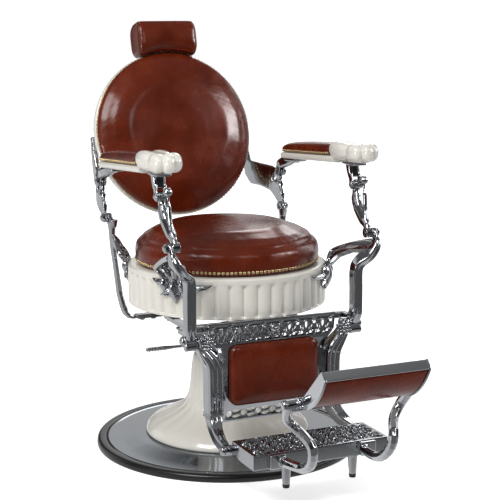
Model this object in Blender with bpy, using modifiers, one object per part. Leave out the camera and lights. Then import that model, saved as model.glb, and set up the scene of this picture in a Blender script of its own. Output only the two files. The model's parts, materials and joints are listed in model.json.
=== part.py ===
"""Hydraulic barber chair, built as an assembly of separate pieces.

Metres, +Z up.  The origin is on the floor, on the pedestal's axis.  The sitter faces -Y, so the
sitter's right hand is at -X.  Every height above the pump is a rise from FRAME_Z, the underside of
the seat frame, so the upper chair follows the pedestal.
"""
import math

import bmesh
import bpy
from mathutils import Matrix, Vector

# ---- clearances
GAP = 0.0003            # between faces that touch
RUNNING_GAP = 0.0006    # round a pin or ram that turns or slides

# ---- pedestal
BASE_RADIUS = 0.370
RING_WIDTH = 0.027
RING_HEIGHT = 0.021
DISH_EDGE = 0.017
DISH_HEIGHT = 0.034
DISH_WALL = 0.012
BASE_PLATE = 0.004
BELL_FOOT_RADIUS = 0.232
BELL_TOP_RADIUS = 0.092
BELL_HEIGHT = 0.228
BELL_WALL = 0.006
BELL_FLUTES = 24
BELL_FLUTE_DEPTH = 0.0045
# share of the way from top radius to foot radius, share of the height
BELL_CURVE = ((1.0, 0.0), (0.985, 0.035), (0.90, 0.12), (0.70, 0.205), (0.46, 0.266), (0.27, 0.32),
              (0.150, 0.42), (0.075, 0.64), (0.0, 1.0))

# ---- pump
PUMP_RADIUS = 0.052
PUMP_FLOOR = 0.012
RAM_RADIUS = 0.032
RAM_HEEL = 0.026
COLLAR_HEIGHT = 0.006
HEAD_RADIUS = 0.066
HEAD_HEIGHT = 0.037
RAM_SHOW = 0.006
RAM_PLATE_WIDTH = 0.236
RAM_PLATE_DEPTH = 0.190
RAM_PLATE_THICKNESS = 0.008
LIFT_STROKE = 0.150
LEVER_LENGTH = 0.158
LEVER_DEPTH = 0.015
LEVER_WIDTH = 0.011
LEVER_HINGE_X = 0.078
LEVER_PIN_RADIUS = 0.004
LEVER_EAR = 0.006

DISH_TOP = DISH_HEIGHT
BELL_BASE_Z = DISH_TOP + GAP
BELL_TOP_Z = BELL_BASE_Z + BELL_HEIGHT
HEAD_Z = BELL_TOP_Z + GAP + COLLAR_HEIGHT + GAP
HEAD_TOP_Z = HEAD_Z + HEAD_HEIGHT
RAM_PLATE_Z = HEAD_TOP_Z + RAM_SHOW
FRAME_Z = RAM_PLATE_Z + RAM_PLATE_THICKNESS + GAP

# ---- seat frame
SKIRT_RADIUS = 0.2765
RAIL_X = 0.100
RAIL_WIDTH = 0.024
RAIL_THICKNESS = 0.012
REAR_STRAP_WIDTH = 0.028
FRONT_BAR_WIDTH = 0.022
FRONT_BAR_HEIGHT = 0.016
FRONT_BRACKET_WIDTH = 0.016
FRONT_BAR_RISE = 0.068
FRONT_LEG_X = SKIRT_RADIUS - 0.0375
FRONT_LEG_Y = -(SKIRT_RADIUS + 0.0385)
FRONT_LEG_WIDTH = 0.025
FRONT_LEG_DEPTH = 0.030
REAR_LEG_X = SKIRT_RADIUS - 0.0245
REAR_LEG_WIDTH = 0.018
REAR_LEG_DEPTH = 0.020
POST_X = SKIRT_RADIUS + 0.0145
REAR_POST_X = SKIRT_RADIUS - 0.0065
PIVOT_RISE = 0.307
FRONT_PIVOT_Y = FRONT_LEG_Y + 0.004
REAR_PIVOT_Y = SKIRT_RADIUS - 0.0575
REAR_STRAP_Y = REAR_PIVOT_Y - 0.029
FRONT_BAR_Y = FRONT_LEG_Y + 0.063
PIVOT_PIN_RADIUS = 0.0055
EYE_RADIUS = 0.0135
POST_EYE_WIDTH = 0.012
DOME_RADIUS = 0.0125
DOME_HEIGHT = 0.0115
ORNAMENT_ANGLE = math.radians(52.0)
REAR_ORNAMENT_ANGLE = math.radians(58.0)

# ---- seat
SKIRT_RISE = 0.0915
SKIRT_HEIGHT = 0.109
SKIRT_BAND = 0.024
SKIRT_WALL = 0.010
SKIRT_FLUTES = 40
SKIRT_FLUTE_DEPTH = 0.005
SKIRT_LIP = 0.030
PAN_THICKNESS = 0.012
CUSHION_RADIUS = SKIRT_RADIUS - 0.0145
CUSHION_HEIGHT = 0.106

# ---- backrest, in its own frame: up the back is +Y, out of the cushion is +Z
BACK_Y = REAR_PIVOT_Y + 0.181
BACK_RISE = 0.5205
BACK_TILT = math.radians(15.0)
SHELL_RADIUS = 0.247
SHELL_DEPTH = 0.034
SHELL_WALL = 0.006
SHELL_LIP = 0.024
BACK_CUSHION_RADIUS = SHELL_RADIUS - 0.005
BACK_CUSHION_HEIGHT = 0.056
RECLINE_RANGE = math.radians(40.0)
BRACKET_THICKNESS = 0.008
ARM_PIVOT_REACH = 0.026
ARM_PIVOT_RISE = 0.100

# ---- headrest
HEADREST_WIDTH = 0.190
HEADREST_DEPTH = 0.088
HEADREST_TOP = SHELL_RADIUS + 0.098
HEADREST_CLEAR = 0.004
HEAD_BAR_WIDTH = 0.036
HEAD_BAR_THICKNESS = 0.008
HEAD_BAR_BACK = -0.0665
HEAD_HINGE_UP = SHELL_RADIUS + 0.049

# ---- front links and armrests
LINK_REACH = 0.079
LINK_RISE = 0.120
LINK_TOP_X = POST_X - 0.010
LINK_WIDTH = 0.020
LINK_DEPTH = 0.018
ARM_X = POST_X - 0.010
ARM_WIDTH = 0.070
ARM_REAR_Y = REAR_PIVOT_Y - 0.047
ARM_FRONT_Y = FRONT_PIVOT_Y + 0.003
ARM_PAD_END_Y = FRONT_PIVOT_Y + 0.181
CLEVIS_EAR = 0.0055

# ---- legrest
LEGREST_Y = FRONT_LEG_Y + 0.013
LEGREST_RISE = 0.0625
LEGREST_RAIL_X = 0.170
LEGREST_RAIL_WIDTH = 0.039
LEGREST_RAIL_DEPTH = 0.046
SHOULDER_EYE_WIDTH = 0.020
WEB_THICKNESS = 0.006
WEB_Y = LEGREST_Y + 0.002
WEB_DROP = 0.229
WEB_TOP_RISE = 0.036
PAD_WIDTH = 0.257
PAD_HEIGHT = 0.163
PAD_THICKNESS = 0.030
PAD_DROP = 0.105
PLATFORM_WIDTH = 0.372
PLATFORM_REAR_Y = LEGREST_Y - 0.153
PLATFORM_DEPTH = 0.131
PLATFORM_DROP = 0.2265
PLATFORM_HEIGHT = 0.039
PLATFORM_RAIL = 0.017
TREAD_THICKNESS = 0.006
TREAD_PITCHES = 5.442     # five motifs and a margin across the tread
LEG_X = 0.0925
LEG_LENGTH = 0.050
LEG_TOP_RADIUS = 0.0125
LEG_TIP_RADIUS = 0.0095
LEG_TIP_LENGTH = 0.008
ARM_TUBE_RADIUS = 0.0130

# ---- footboard
FOOTBOARD_Y = LEGREST_Y - 0.429
FOOTBOARD_DROP = 0.0610
FOOTBOARD_HALF = 0.138
FOOTBOARD_PLATE = 0.005
FOOTBOARD_LUG = 0.0115
FOOT_EYE_X = 0.160
FOOT_EYE_WIDTH = 0.024
FOOTBOARD_SPAN = 0.124
FOOTBOARD_DEPTH = 0.024
FOOTBOARD_SLOPE = math.radians(43.5)
FOOTBOARD_HEEL = 0.026

PIVOT_Z = FRAME_Z + PIVOT_RISE
BRACKET_X = REAR_POST_X + POST_EYE_WIDTH / 2 + GAP + BRACKET_THICKNESS / 2
LINK_LOW_X = POST_X - POST_EYE_WIDTH / 2 - GAP - LINK_WIDTH / 2
SKIRT_Z = FRAME_Z + SKIRT_RISE
SKIRT_TOP = SKIRT_Z + SKIRT_HEIGHT
BACK_CENTRE = Vector((0.0, BACK_Y, FRAME_Z + BACK_RISE))
ARM_PIVOT = Vector((0.0, REAR_PIVOT_Y + ARM_PIVOT_REACH, PIVOT_Z + ARM_PIVOT_RISE))
LINK_TOP = Vector((0.0, FRONT_PIVOT_Y + LINK_REACH, PIVOT_Z + LINK_RISE))
LEGREST_Z = FRAME_Z + LEGREST_RISE
PLATFORM_TOP = LEGREST_Z - PLATFORM_DROP
PLATFORM_FRONT_Y = PLATFORM_REAR_Y - PLATFORM_DEPTH
FOOTBOARD_PIVOT = Vector((0.0, FOOTBOARD_Y, LEGREST_Z - FOOTBOARD_DROP))
SIDES = (("left", 1.0), ("right", -1.0))

FINISHES = {
    # name: (linear colour, metallic, roughness)
    "rubber": ((0.012, 0.012, 0.013), 0.0, 0.55),
    "chrome": ((0.62, 0.63, 0.65), 1.0, 0.08),
    "enamel": ((0.76, 0.74, 0.68), 0.0, 0.22),
    "leather": ((0.11, 0.018, 0.008), 0.0, 0.28),
    "steel": ((0.34, 0.35, 0.36), 1.0, 0.35),
    "wood": ((0.35, 0.22, 0.11), 0.0, 0.60),
}


# ---------------------------------------------------------------- scene and materials
def clear_scene():
    for obj in list(bpy.data.objects):
        bpy.data.objects.remove(obj, do_unlink=True)
    for collection in list(bpy.data.collections):
        bpy.data.collections.remove(collection)


def collection_named(name):
    collection = bpy.data.collections.new(name)
    bpy.context.scene.collection.children.link(collection)
    return collection


def finish_material(name):
    material = bpy.data.materials.get(name)
    if material is None:
        colour, metallic, roughness = FINISHES[name]
        material = bpy.data.materials.new(name)
        material.use_nodes = True
        shader = material.node_tree.nodes["Principled BSDF"]
        shader.inputs["Base Color"].default_value = (*colour, 1.0)
        shader.inputs["Metallic"].default_value = metallic
        shader.inputs["Roughness"].default_value = roughness
    return material


# ---------------------------------------------------------------- making solids
def add_object(name, data, finish):
    obj = bpy.data.objects.new(name, data)
    PARTS.objects.link(obj)
    if finish:
        obj.data.materials.append(finish_material(finish))
    return obj


def object_from_bmesh(name, bm, finish):
    mesh = bpy.data.meshes.new(name)
    bm.to_mesh(mesh)
    bm.free()
    return add_object(name, mesh, finish)


def smooth(obj, angle=math.radians(35.0)):
    obj.data.shade_smooth()
    obj.data.set_sharp_from_angle(angle=angle)
    return obj


def frozen(obj):
    """Replace an object by a mesh object with its modifiers and its transform applied."""
    bpy.context.view_layer.update()
    graph = bpy.context.evaluated_depsgraph_get()
    mesh = bpy.data.meshes.new_from_object(obj.evaluated_get(graph), depsgraph=graph)
    mesh.transform(obj.matrix_world)
    bm = bmesh.new()
    bm.from_mesh(mesh)
    bmesh.ops.remove_doubles(bm, verts=bm.verts, dist=0.00001)
    bm.to_mesh(mesh)
    bm.free()
    name = obj.name
    bpy.data.objects.remove(obj, do_unlink=True)
    solid = bpy.data.objects.new(name, mesh)
    PARTS.objects.link(solid)
    return solid


def combined(obj, others, operation):
    """Join others to obj, or cut them from it, and remove them."""
    for other in others:
        modifier = obj.modifiers.new(operation.lower(), "BOOLEAN")
        modifier.operation = operation
        modifier.solver = "EXACT"
        modifier.object = other
    result = frozen(obj)
    for other in others:
        bpy.data.objects.remove(other, do_unlink=True)
    return result


def union(obj, others):
    return combined(obj, others, "UNION")


def cut(obj, cutters):
    return combined(obj, cutters, "DIFFERENCE")


def box(name, centre, size, finish=None, bevel=0.0, segments=1):
    bm = bmesh.new()
    bmesh.ops.create_cube(bm, size=1.0)
    bmesh.ops.scale(bm, vec=size, verts=bm.verts)
    bmesh.ops.translate(bm, vec=centre, verts=bm.verts)
    obj = object_from_bmesh(name, bm, finish)
    if bevel > 0.0:
        modifier = obj.modifiers.new("bevel", "BEVEL")
        modifier.width = bevel
        modifier.segments = segments
        obj = frozen(obj)
    return obj


def cylinder(name, centre, radius, length, axis="Z", finish=None, segments=14, top_radius=None):
    """A cylinder or cone with its middle at centre and its top towards the positive axis."""
    bm = bmesh.new()
    top = radius if top_radius is None else top_radius
    bmesh.ops.create_cone(bm, cap_ends=True, segments=segments, radius1=radius, radius2=top, depth=length)
    turn = {"X": Matrix.Rotation(math.pi / 2, 4, "Y"), "Y": Matrix.Rotation(-math.pi / 2, 4, "X"),
            "Z": Matrix.Identity(4)}[axis]
    bmesh.ops.transform(bm, matrix=Matrix.Translation(centre) @ turn, verts=bm.verts)
    return object_from_bmesh(name, bm, finish)


def turned(name, profile, finish, segments=48, closed=False):
    """A solid of revolution about Z.  The profile runs down its outer side, top to bottom."""
    mesh = bpy.data.meshes.new(name)
    edges = [(i, i + 1) for i in range(len(profile) - 1)]
    if closed:
        edges.append((len(profile) - 1, 0))
    mesh.from_pydata([(r, 0.0, z) for r, z in profile], edges, [])
    obj = add_object(name, mesh, finish)
    screw = obj.modifiers.new("turn", "SCREW")
    screw.steps = segments
    screw.render_steps = segments
    screw.use_merge_vertices = True
    screw.merge_threshold = 0.00005
    return obj


def dome(name, centre, direction, radius, height, finish, segments=12):
    """A domed cap with a short straight skirt, its flat face at centre, along +X or -X."""
    skirt = height * 0.3
    rings = 3
    profile = [(0.0, height)]
    for i in range(1, rings + 1):
        angle = math.pi / 2 * i / rings
        profile.append((radius * math.sin(angle), skirt + (height - skirt) * math.cos(angle)))
    profile += [(radius, 0.0), (0.0, 0.0)]
    obj = turned(name, profile, finish, segments)
    obj.matrix_world = (Matrix.Translation(centre)
                        @ Matrix.Rotation(math.copysign(math.pi / 2, direction), 4, "Y"))
    return frozen(obj)


def sphere(name, centre, radius, finish=None, scale=(1.0, 1.0, 1.0), rings=7, segments=12):
    bm = bmesh.new()
    bmesh.ops.create_uvsphere(bm, u_segments=segments, v_segments=rings, radius=radius)
    bmesh.ops.scale(bm, vec=scale, verts=bm.verts)
    bmesh.ops.translate(bm, vec=centre, verts=bm.verts)
    return object_from_bmesh(name, bm, finish)


def plate(name, outlines, thickness, placement, finish=None):
    """A flat plate with holes: closed outlines in XY, extruded along Z and placed by a matrix."""
    curve = bpy.data.curves.new(name, "CURVE")
    curve.dimensions = "2D"
    curve.fill_mode = "BOTH"
    curve.extrude = thickness / 2
    for outline in outlines:
        spline = curve.splines.new("POLY")
        spline.points.add(len(outline) - 1)
        for point, (u, v) in zip(spline.points, outline):
            point.co = (u, v, 0.0, 1.0)
        spline.use_cyclic_u = True
    obj = bpy.data.objects.new(name, curve)
    PARTS.objects.link(obj)
    obj.matrix_world = placement
    solid = frozen(obj)
    if finish:
        solid.data.materials.clear()
        solid.data.materials.append(finish_material(finish))
    return solid


def catmull(points, count):
    """Even samples of a smooth curve through points of any dimension."""
    points = [tuple(p) for p in points]
    samples = []
    last = len(points) - 1
    for i in range(count):
        place = last * i / (count - 1)
        k = min(int(place), last - 1)
        t = place - k
        quad = [points[max(k - 1, 0)], points[k], points[k + 1], points[min(k + 2, last)]]
        samples.append(tuple(
            0.5 * (2 * b + (c - a) * t + (2 * a - 5 * b + 4 * c - d) * t * t
                   + (3 * b - a - 3 * c + d) * t ** 3)
            for a, b, c, d in zip(*quad)))
    return samples


def rounded_section(corner=0.28, steps=2):
    """A unit square with rounded corners, as (across, up) pairs."""
    section = []
    for quarter in range(4):
        centre_angle = math.pi / 4 + quarter * math.pi / 2
        cu = math.copysign(0.5 - corner, math.cos(centre_angle))
        cv = math.copysign(0.5 - corner, math.sin(centre_angle))
        for step in range(steps + 1):
            angle = quarter * math.pi / 2 + math.pi / 2 * step / steps
            section.append((cu + corner * math.cos(angle), cv + corner * math.sin(angle)))
    return section


def round_section(sides=12):
    return [(0.5 * math.cos(2 * math.pi * i / sides), 0.5 * math.sin(2 * math.pi * i / sides))
            for i in range(sides)]


def loft(name, rings, finish):
    """A closed solid through rings of equally many points."""
    bm = bmesh.new()
    loops = [[bm.verts.new(point) for point in ring] for ring in rings]
    count = len(loops[0])
    for lower, upper in zip(loops, loops[1:]):
        for i in range(count):
            j = (i + 1) % count
            bm.faces.new((lower[i], lower[j], upper[j], upper[i]))
    bm.faces.new(reversed(loops[0]))
    bm.faces.new(loops[-1])
    bmesh.ops.recalc_face_normals(bm, faces=bm.faces)
    return object_from_bmesh(name, bm, finish)


def sweep(name, stations, section, finish=None, count=12, across=(1.0, 0.0, 0.0)):
    """A bar along stations of (x, y, z, width, depth); its width lies along across."""
    samples = catmull(stations, count)
    centres = [Vector(sample[:3]) for sample in samples]
    rings = []
    for i, sample in enumerate(samples):
        tangent = (centres[min(i + 1, count - 1)] - centres[max(i - 1, 0)]).normalized()
        side = Vector(across)
        side = (side - tangent * side.dot(tangent)).normalized()
        rise = side.cross(tangent)
        rings.append([centres[i] + side * (u * sample[3]) + rise * (v * sample[4]) for u, v in section])
    return loft(name, rings, finish)


def mirrored(obj, name):
    """The other side's copy of a piece, reflected in the plane X = 0."""
    bm = bmesh.new()
    bm.from_mesh(obj.data)
    bmesh.ops.scale(bm, vec=(-1.0, 1.0, 1.0), verts=bm.verts)
    bmesh.ops.reverse_faces(bm, faces=bm.faces)
    mesh = bpy.data.meshes.new(name)
    bm.to_mesh(mesh)
    bm.free()
    for material in obj.data.materials:
        mesh.materials.append(material)
    copy = bpy.data.objects.new(name, mesh)
    PARTS.objects.link(copy)
    return copy


def named(obj, name, finish):
    obj.name = name
    obj.data.name = name
    obj.data.materials.clear()
    obj.data.materials.append(finish_material(finish))
    return smooth(obj)


def both_sides(obj, stem, finish):
    """Name the left piece and make its right twin."""
    left = named(obj, stem + "_left", finish)
    return {"left": left, "right": smooth(mirrored(left, stem + "_right"))}


def pivot_empty(name, place):
    empty = bpy.data.objects.new(name, None)
    empty.empty_display_size = 0.05
    empty.location = place
    PARTS.objects.link(empty)
    return empty


def hang(objects, empty):
    """Parent pieces to an empty on their joint's axis, and leave them where they are."""
    for obj in objects:
        obj.parent = empty
        obj.location = -Vector(empty.location)


# ---------------------------------------------------------------- pedestal and pump
def build_pedestal():
    inner = BASE_RADIUS - RING_WIDTH
    edge = 0.004
    ring = turned("base_ring", [
        (inner, RING_HEIGHT), (BASE_RADIUS - 2.5 * edge, RING_HEIGHT),
        (BASE_RADIUS - edge, RING_HEIGHT - edge),
        (BASE_RADIUS, RING_HEIGHT - 3 * edge), (BASE_RADIUS, 0.0), (inner, 0.0)], "rubber", 48, closed=True)
    dish_radius = inner - GAP
    well = dish_radius - DISH_WALL
    dish = turned("base_dish", [
        (0.0, DISH_TOP), (BELL_FOOT_RADIUS + 0.008, DISH_TOP), (BELL_FOOT_RADIUS + 0.03, DISH_TOP - 0.004),
        (dish_radius - 0.02, DISH_EDGE + 0.004), (dish_radius, DISH_EDGE), (dish_radius, 0.0), (well, 0.0),
        (well, DISH_EDGE - DISH_WALL / 2), (BELL_FOOT_RADIUS, DISH_TOP - DISH_WALL),
        (0.0, DISH_TOP - DISH_WALL)],
        "chrome", 48)
    floor = cylinder("base_plate", (0.0, 0.0, BASE_PLATE / 2), well - GAP, BASE_PLATE, segments=48)
    return [smooth(frozen(ring)), smooth(frozen(dish)), named(floor, "base_plate", "steel"), build_bell(),
            build_pump_cylinder()]


def bell_radius(share):
    return BELL_TOP_RADIUS + (BELL_FOOT_RADIUS - BELL_TOP_RADIUS) * share


def build_bell():
    """The fluted foot cover: fluted rings outside, plain rings inside, open at both ends."""
    columns = BELL_FLUTES * 2
    rings = []
    for share, height in BELL_CURVE:
        depth = BELL_FLUTE_DEPTH * (0.45 + 0.55 * math.sqrt(share)) * min(1.0, 8.0 * (1.0 - height) + 0.2)
        rings.append([(bell_radius(share) - depth * (i % 2),
                       math.tau * i / columns, BELL_BASE_Z + BELL_HEIGHT * height) for i in range(columns)])
    for share, height in reversed(BELL_CURVE[::2]):
        plain = bell_radius(share) - BELL_WALL - BELL_FLUTE_DEPTH
        rings.append([(plain, math.tau * i / columns, BELL_BASE_Z + BELL_HEIGHT * height)
                      for i in range(columns)])
    return smooth(ring_solid("pedestal_bell", rings, "enamel"), math.radians(60.0))


def ring_solid(name, rings, finish):
    """A tube-like solid: rings of (radius, angle, z) joined in turn, the last to the first."""
    bm = bmesh.new()
    loops = [[bm.verts.new((r * math.sin(a), -r * math.cos(a), z)) for r, a, z in ring] for ring in rings]
    count = len(loops[0])
    for k, lower in enumerate(loops):
        upper = loops[(k + 1) % len(loops)]
        for i in range(count):
            j = (i + 1) % count
            bm.faces.new((lower[i], lower[j], upper[j], upper[i]))
    bmesh.ops.recalc_face_normals(bm, faces=bm.faces)
    return object_from_bmesh(name, bm, finish)


def build_pump_cylinder():
    bore = RAM_RADIUS + RUNNING_GAP
    floor = BELL_BASE_Z + PUMP_FLOOR
    barrel = turned("pump_cylinder", [
        (0.0, floor), (bore, floor), (bore, BELL_TOP_Z), (PUMP_RADIUS, BELL_TOP_Z),
        (PUMP_RADIUS, BELL_BASE_Z + 0.02), (PUMP_RADIUS + 0.018, BELL_BASE_Z + 0.012),
        (PUMP_RADIUS + 0.018, BELL_BASE_Z), (0.0, BELL_BASE_Z)], "steel", 28)
    return named(frozen(barrel), "pump_cylinder", "steel")


def build_pump_head():
    """The head that turns on the bell with the chair, with two ears for the lever's pin."""
    bore = RAM_RADIUS + RUNNING_GAP
    collar_z = BELL_TOP_Z + GAP
    collar = turned("bell_collar", [
        (PUMP_RADIUS + 0.004, collar_z + COLLAR_HEIGHT), (BELL_TOP_RADIUS, collar_z + COLLAR_HEIGHT),
        (BELL_TOP_RADIUS + 0.003, collar_z + COLLAR_HEIGHT / 2), (BELL_TOP_RADIUS, collar_z),
        (PUMP_RADIUS + 0.004, collar_z)], "chrome", 36, closed=True)
    head = turned("pump_head", [
        (bore, HEAD_TOP_Z), (HEAD_RADIUS - 0.006, HEAD_TOP_Z), (HEAD_RADIUS, HEAD_TOP_Z - 0.006),
        (HEAD_RADIUS, HEAD_Z + 0.004), (HEAD_RADIUS + 0.012, HEAD_Z), (bore, HEAD_Z)],
        "steel", 28, closed=True)
    middle = lever_hinge()
    inner_x = -(HEAD_RADIUS - 0.008)
    length = LEVER_HINGE_X + 0.009 + inner_x
    ears = []
    for side in (1.0, -1.0):
        y = side * (LEVER_WIDTH / 2 + GAP + LEVER_EAR / 2)
        ears.append(box("ear", (inner_x - length / 2, y, middle.z), (length, LEVER_EAR, 0.018)))
    drill = cylinder("drill", middle, LEVER_PIN_RADIUS + GAP, 0.08, "Y", segments=12)
    head = cut(union(frozen(head), ears), [drill])
    pin_length = LEVER_WIDTH + 2 * LEVER_EAR + 0.004
    pin = cylinder("lever_pin", middle, LEVER_PIN_RADIUS, pin_length, "Y", segments=12)
    return [smooth(frozen(collar))], [named(head, "pump_head", "steel"), named(pin, "lever_pin", "steel")]


def lever_hinge():
    return Vector((-LEVER_HINGE_X, 0.0, HEAD_Z + HEAD_HEIGHT / 2))


def build_lever():
    """The pump lever: a grooved bar with a round eye on its pin and a rounded tip."""
    start = lever_hinge()
    tip_x = start.x - LEVER_LENGTH
    middle_x = (start.x + tip_x) / 2
    groove = 0.002
    bar_width = LEVER_WIDTH - 0.001
    grooved = [(-0.5, -0.5), (0.5, -0.5), (0.5, -0.2), (0.5 - groove / LEVER_WIDTH, -0.14),
               (0.5 - groove / LEVER_WIDTH, 0.14), (0.5, 0.2), (0.5, 0.5), (-0.5, 0.5), (-0.5, 0.2),
               (-0.5 + groove / LEVER_WIDTH, 0.14), (-0.5 + groove / LEVER_WIDTH, -0.14), (-0.5, -0.2)]
    bar = sweep("bar", [
        (start.x, 0.0, start.z, bar_width, LEVER_DEPTH * 0.8),
        (middle_x, 0.0, start.z, bar_width, LEVER_DEPTH * 0.85),
        (tip_x, 0.0, start.z, bar_width, LEVER_DEPTH * 0.9)], grooved, None, 3, (0.0, 1.0, 0.0))
    eye = cylinder("eye", start, LEVER_DEPTH / 2, LEVER_WIDTH, "Y")
    tip = cylinder("tip", (tip_x, 0.0, start.z), LEVER_DEPTH / 2, LEVER_WIDTH, "Y")
    drill = cylinder("drill", start, LEVER_PIN_RADIUS + RUNNING_GAP, 0.05, "Y", segments=12)
    return named(cut(union(bar, [eye, tip]), [drill]), "pump_lever", "chrome")


def build_ram():
    heel = BELL_BASE_Z + RAM_HEEL
    ram = cylinder("ram", (0.0, 0.0, (heel + RAM_PLATE_Z - GAP) / 2), RAM_RADIUS,
                   RAM_PLATE_Z - GAP - heel, segments=28)
    ram_plate = box("ram_plate", (0.0, 0.0, RAM_PLATE_Z + RAM_PLATE_THICKNESS / 2),
                    (RAM_PLATE_WIDTH, RAM_PLATE_DEPTH, RAM_PLATE_THICKNESS), "steel", 0.002)
    return [named(ram, "ram", "chrome"), named(ram_plate, "ram_plate", "steel")]


# ---------------------------------------------------------------- seat frame
def build_under_frame():
    """Two long rails on the ram's plate, which rise to the front bar, and the rear strap."""
    top = FRAME_Z + RAIL_THICKNESS
    front_low = FRAME_Z + FRONT_BAR_RISE
    front_y = FRONT_BAR_Y + FRONT_BAR_WIDTH / 2 + GAP
    rear_y = REAR_STRAP_Y + REAR_STRAP_WIDTH / 2
    knee_y = -RAM_PLATE_DEPTH / 2 - 0.012
    outline = [(rear_y, FRAME_Z), (rear_y, top), (knee_y + 0.004, top),
               (front_y + 0.03, front_low + RAIL_THICKNESS),
               (front_y, front_low + RAIL_THICKNESS), (front_y, front_low), (front_y + 0.025, front_low),
               (knee_y, FRAME_Z)]
    place = Matrix.Translation((RAIL_X, 0.0, 0.0)) @ YZ_PLANE
    rail = plate("seat_rail", [outline], RAIL_WIDTH, place)
    bolt = cylinder("bolt", (RAIL_X, REAR_STRAP_Y, FRAME_Z - 0.0025), 0.008, 0.006, "Z", None, 6)
    rails = both_sides(union(rail, [bolt]), "seat_rail", "chrome")
    front_length = 2 * (front_bracket_x() - FRONT_BRACKET_WIDTH / 2 - GAP)
    front_bar = box("front_bar", (0.0, FRONT_BAR_Y, front_bar_z()),
                    (front_length, FRONT_BAR_WIDTH, FRONT_BAR_HEIGHT), "chrome", 0.003)
    strap_z = top + GAP + RAIL_THICKNESS / 2
    strap = box("rear_strap", (0.0, REAR_STRAP_Y, strap_z),
                (2 * rear_foot_x() - 2 * GAP, REAR_STRAP_WIDTH, RAIL_THICKNESS), None, 0.002)
    bolts = [cylinder("bolt", (side * (rear_foot_x() - reach), REAR_STRAP_Y, top + GAP - 0.0025), 0.008,
                      0.006,
                      "Z", None, 6) for _, side in SIDES for reach in (0.020, 0.054)]
    strap = named(union(strap, bolts), "rear_strap", "chrome")
    return [rails["left"], rails["right"], smooth(front_bar), strap]


YZ_PLANE = Matrix(((0.0, 0.0, 1.0, 0.0), (1.0, 0.0, 0.0, 0.0), (0.0, 1.0, 0.0, 0.0), (0.0, 0.0, 0.0, 1.0)))


def rear_foot_x():
    """Where the rear post's foot ends and the rear strap begins."""
    return REAR_LEG_X - 0.048


def skirt_contact(angle, sign=-1.0, reach=0.0):
    """A point on the skirt's outside at an angle from straight ahead (or from straight behind)."""
    radius = SKIRT_RADIUS + GAP + reach
    return Vector((radius * math.sin(angle), sign * radius * math.cos(angle), 0.0))


def skirt_foot(angle, sign, height):
    """The flat foot by which a frame arm bears on the skirt's plain band."""
    thickness = 0.008
    centre = skirt_contact(angle, sign, thickness / 2)
    centre.z = SKIRT_TOP - height / 2 + 0.004
    foot = box("foot", (0.0, 0.0, 0.0), (0.034, thickness, height), None, 0.002)
    turn = Matrix.Rotation(angle if sign < 0 else -angle, 4, "Z")
    foot.data.transform(Matrix.Translation(centre) @ turn)
    return foot


def build_front_post():
    """One casting: the pivot eye, the elbow, the leg, its scroll foot and the arm to the skirt."""
    section = rounded_section(0.3, 1)
    eye_z = PIVOT_Z
    y = FRONT_PIVOT_Y
    leg_top = FRAME_Z + 0.215
    leg_low = FRAME_Z + 0.105
    foot = LEGREST_Z
    w, d = FRONT_LEG_WIDTH, FRONT_LEG_DEPTH
    leg = sweep("leg", [
        (POST_X, y - 0.002, eye_z + 0.006, POST_EYE_WIDTH, 0.018),
        (POST_X, y - 0.013, eye_z - 0.014, POST_EYE_WIDTH, 0.027),
        (POST_X - 0.005, y - 0.020, eye_z - 0.034, 0.019, 0.032),
        (POST_X - 0.021, y - 0.019, eye_z - 0.055, 0.023, 0.031),
        (FRONT_LEG_X + 0.010, FRONT_LEG_Y - 0.004, leg_top + 0.018, 0.024, d + 0.002),
        (FRONT_LEG_X, FRONT_LEG_Y, leg_top - 0.004, w, d),
        (FRONT_LEG_X, FRONT_LEG_Y, (leg_top + leg_low) / 2, w, d),
        (FRONT_LEG_X, FRONT_LEG_Y, leg_low, w, d),
        (FRONT_LEG_X, FRONT_LEG_Y + 0.003, foot + 0.028, w, d + 0.002),
        (FRONT_LEG_X - 0.002, LEGREST_Y, foot, w - 0.001, 0.032)], section, None, 14)
    eye = cylinder("eye", (POST_X, y, eye_z), EYE_RADIUS, POST_EYE_WIDTH, "X")
    end = skirt_contact(ORNAMENT_ANGLE, -1.0, 0.006)
    arm_end_z = SKIRT_TOP + 0.008
    arm = sweep("arm", [
        (POST_X - 0.006, y - 0.014, eye_z - 0.038, 0.016, 0.032),
        (POST_X - 0.017, y + 0.020, eye_z - 0.042, 0.021, 0.034),
        ((POST_X + end.x) / 2 - 0.008, (y + end.y) / 2 + 0.012, (eye_z + arm_end_z) / 2 - 0.006, 0.023,
         0.026),
        (end.x + 0.006, end.y - 0.018, arm_end_z + 0.003, 0.023, 0.019),
        (end.x, end.y, arm_end_z - 0.010, 0.020, 0.016)], section, None, 6)
    boss = cylinder("boss", (FRONT_LEG_X - 0.002, LEGREST_Y, foot), 0.0185, w + 0.004, "X")
    scroll = cylinder("scroll", (FRONT_LEG_X - 0.002, LEGREST_Y - 0.012, foot - 0.014), 0.0105, w + 0.008,
                      "X")
    pin = pin_with_dome(1.0, shoulder_x() - SHOULDER_EYE_WIDTH / 2, FRONT_LEG_X + w / 2, LEGREST_Y, foot)
    bracket_front = LEGREST_Y + 0.004
    bracket_back = FRONT_BAR_Y + FRONT_BAR_WIDTH / 2
    bracket = box("bracket", (front_bracket_x(), (bracket_front + bracket_back) / 2, front_bar_z()),
                  (FRONT_BRACKET_WIDTH, bracket_back - bracket_front, FRONT_BAR_HEIGHT), None, 0.002)
    pieces = [eye, arm, boss, scroll, pin, bracket, skirt_foot(ORNAMENT_ANGLE, -1.0, 0.044),
              build_ornament(ORNAMENT_ANGLE, -1.0)]
    drill = cylinder("drill", (POST_X, y, eye_z), PIVOT_PIN_RADIUS + GAP, 0.05, "X", segments=12)
    return both_sides(cut(union(leg, pieces), [drill]), "front_post", "chrome")


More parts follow.
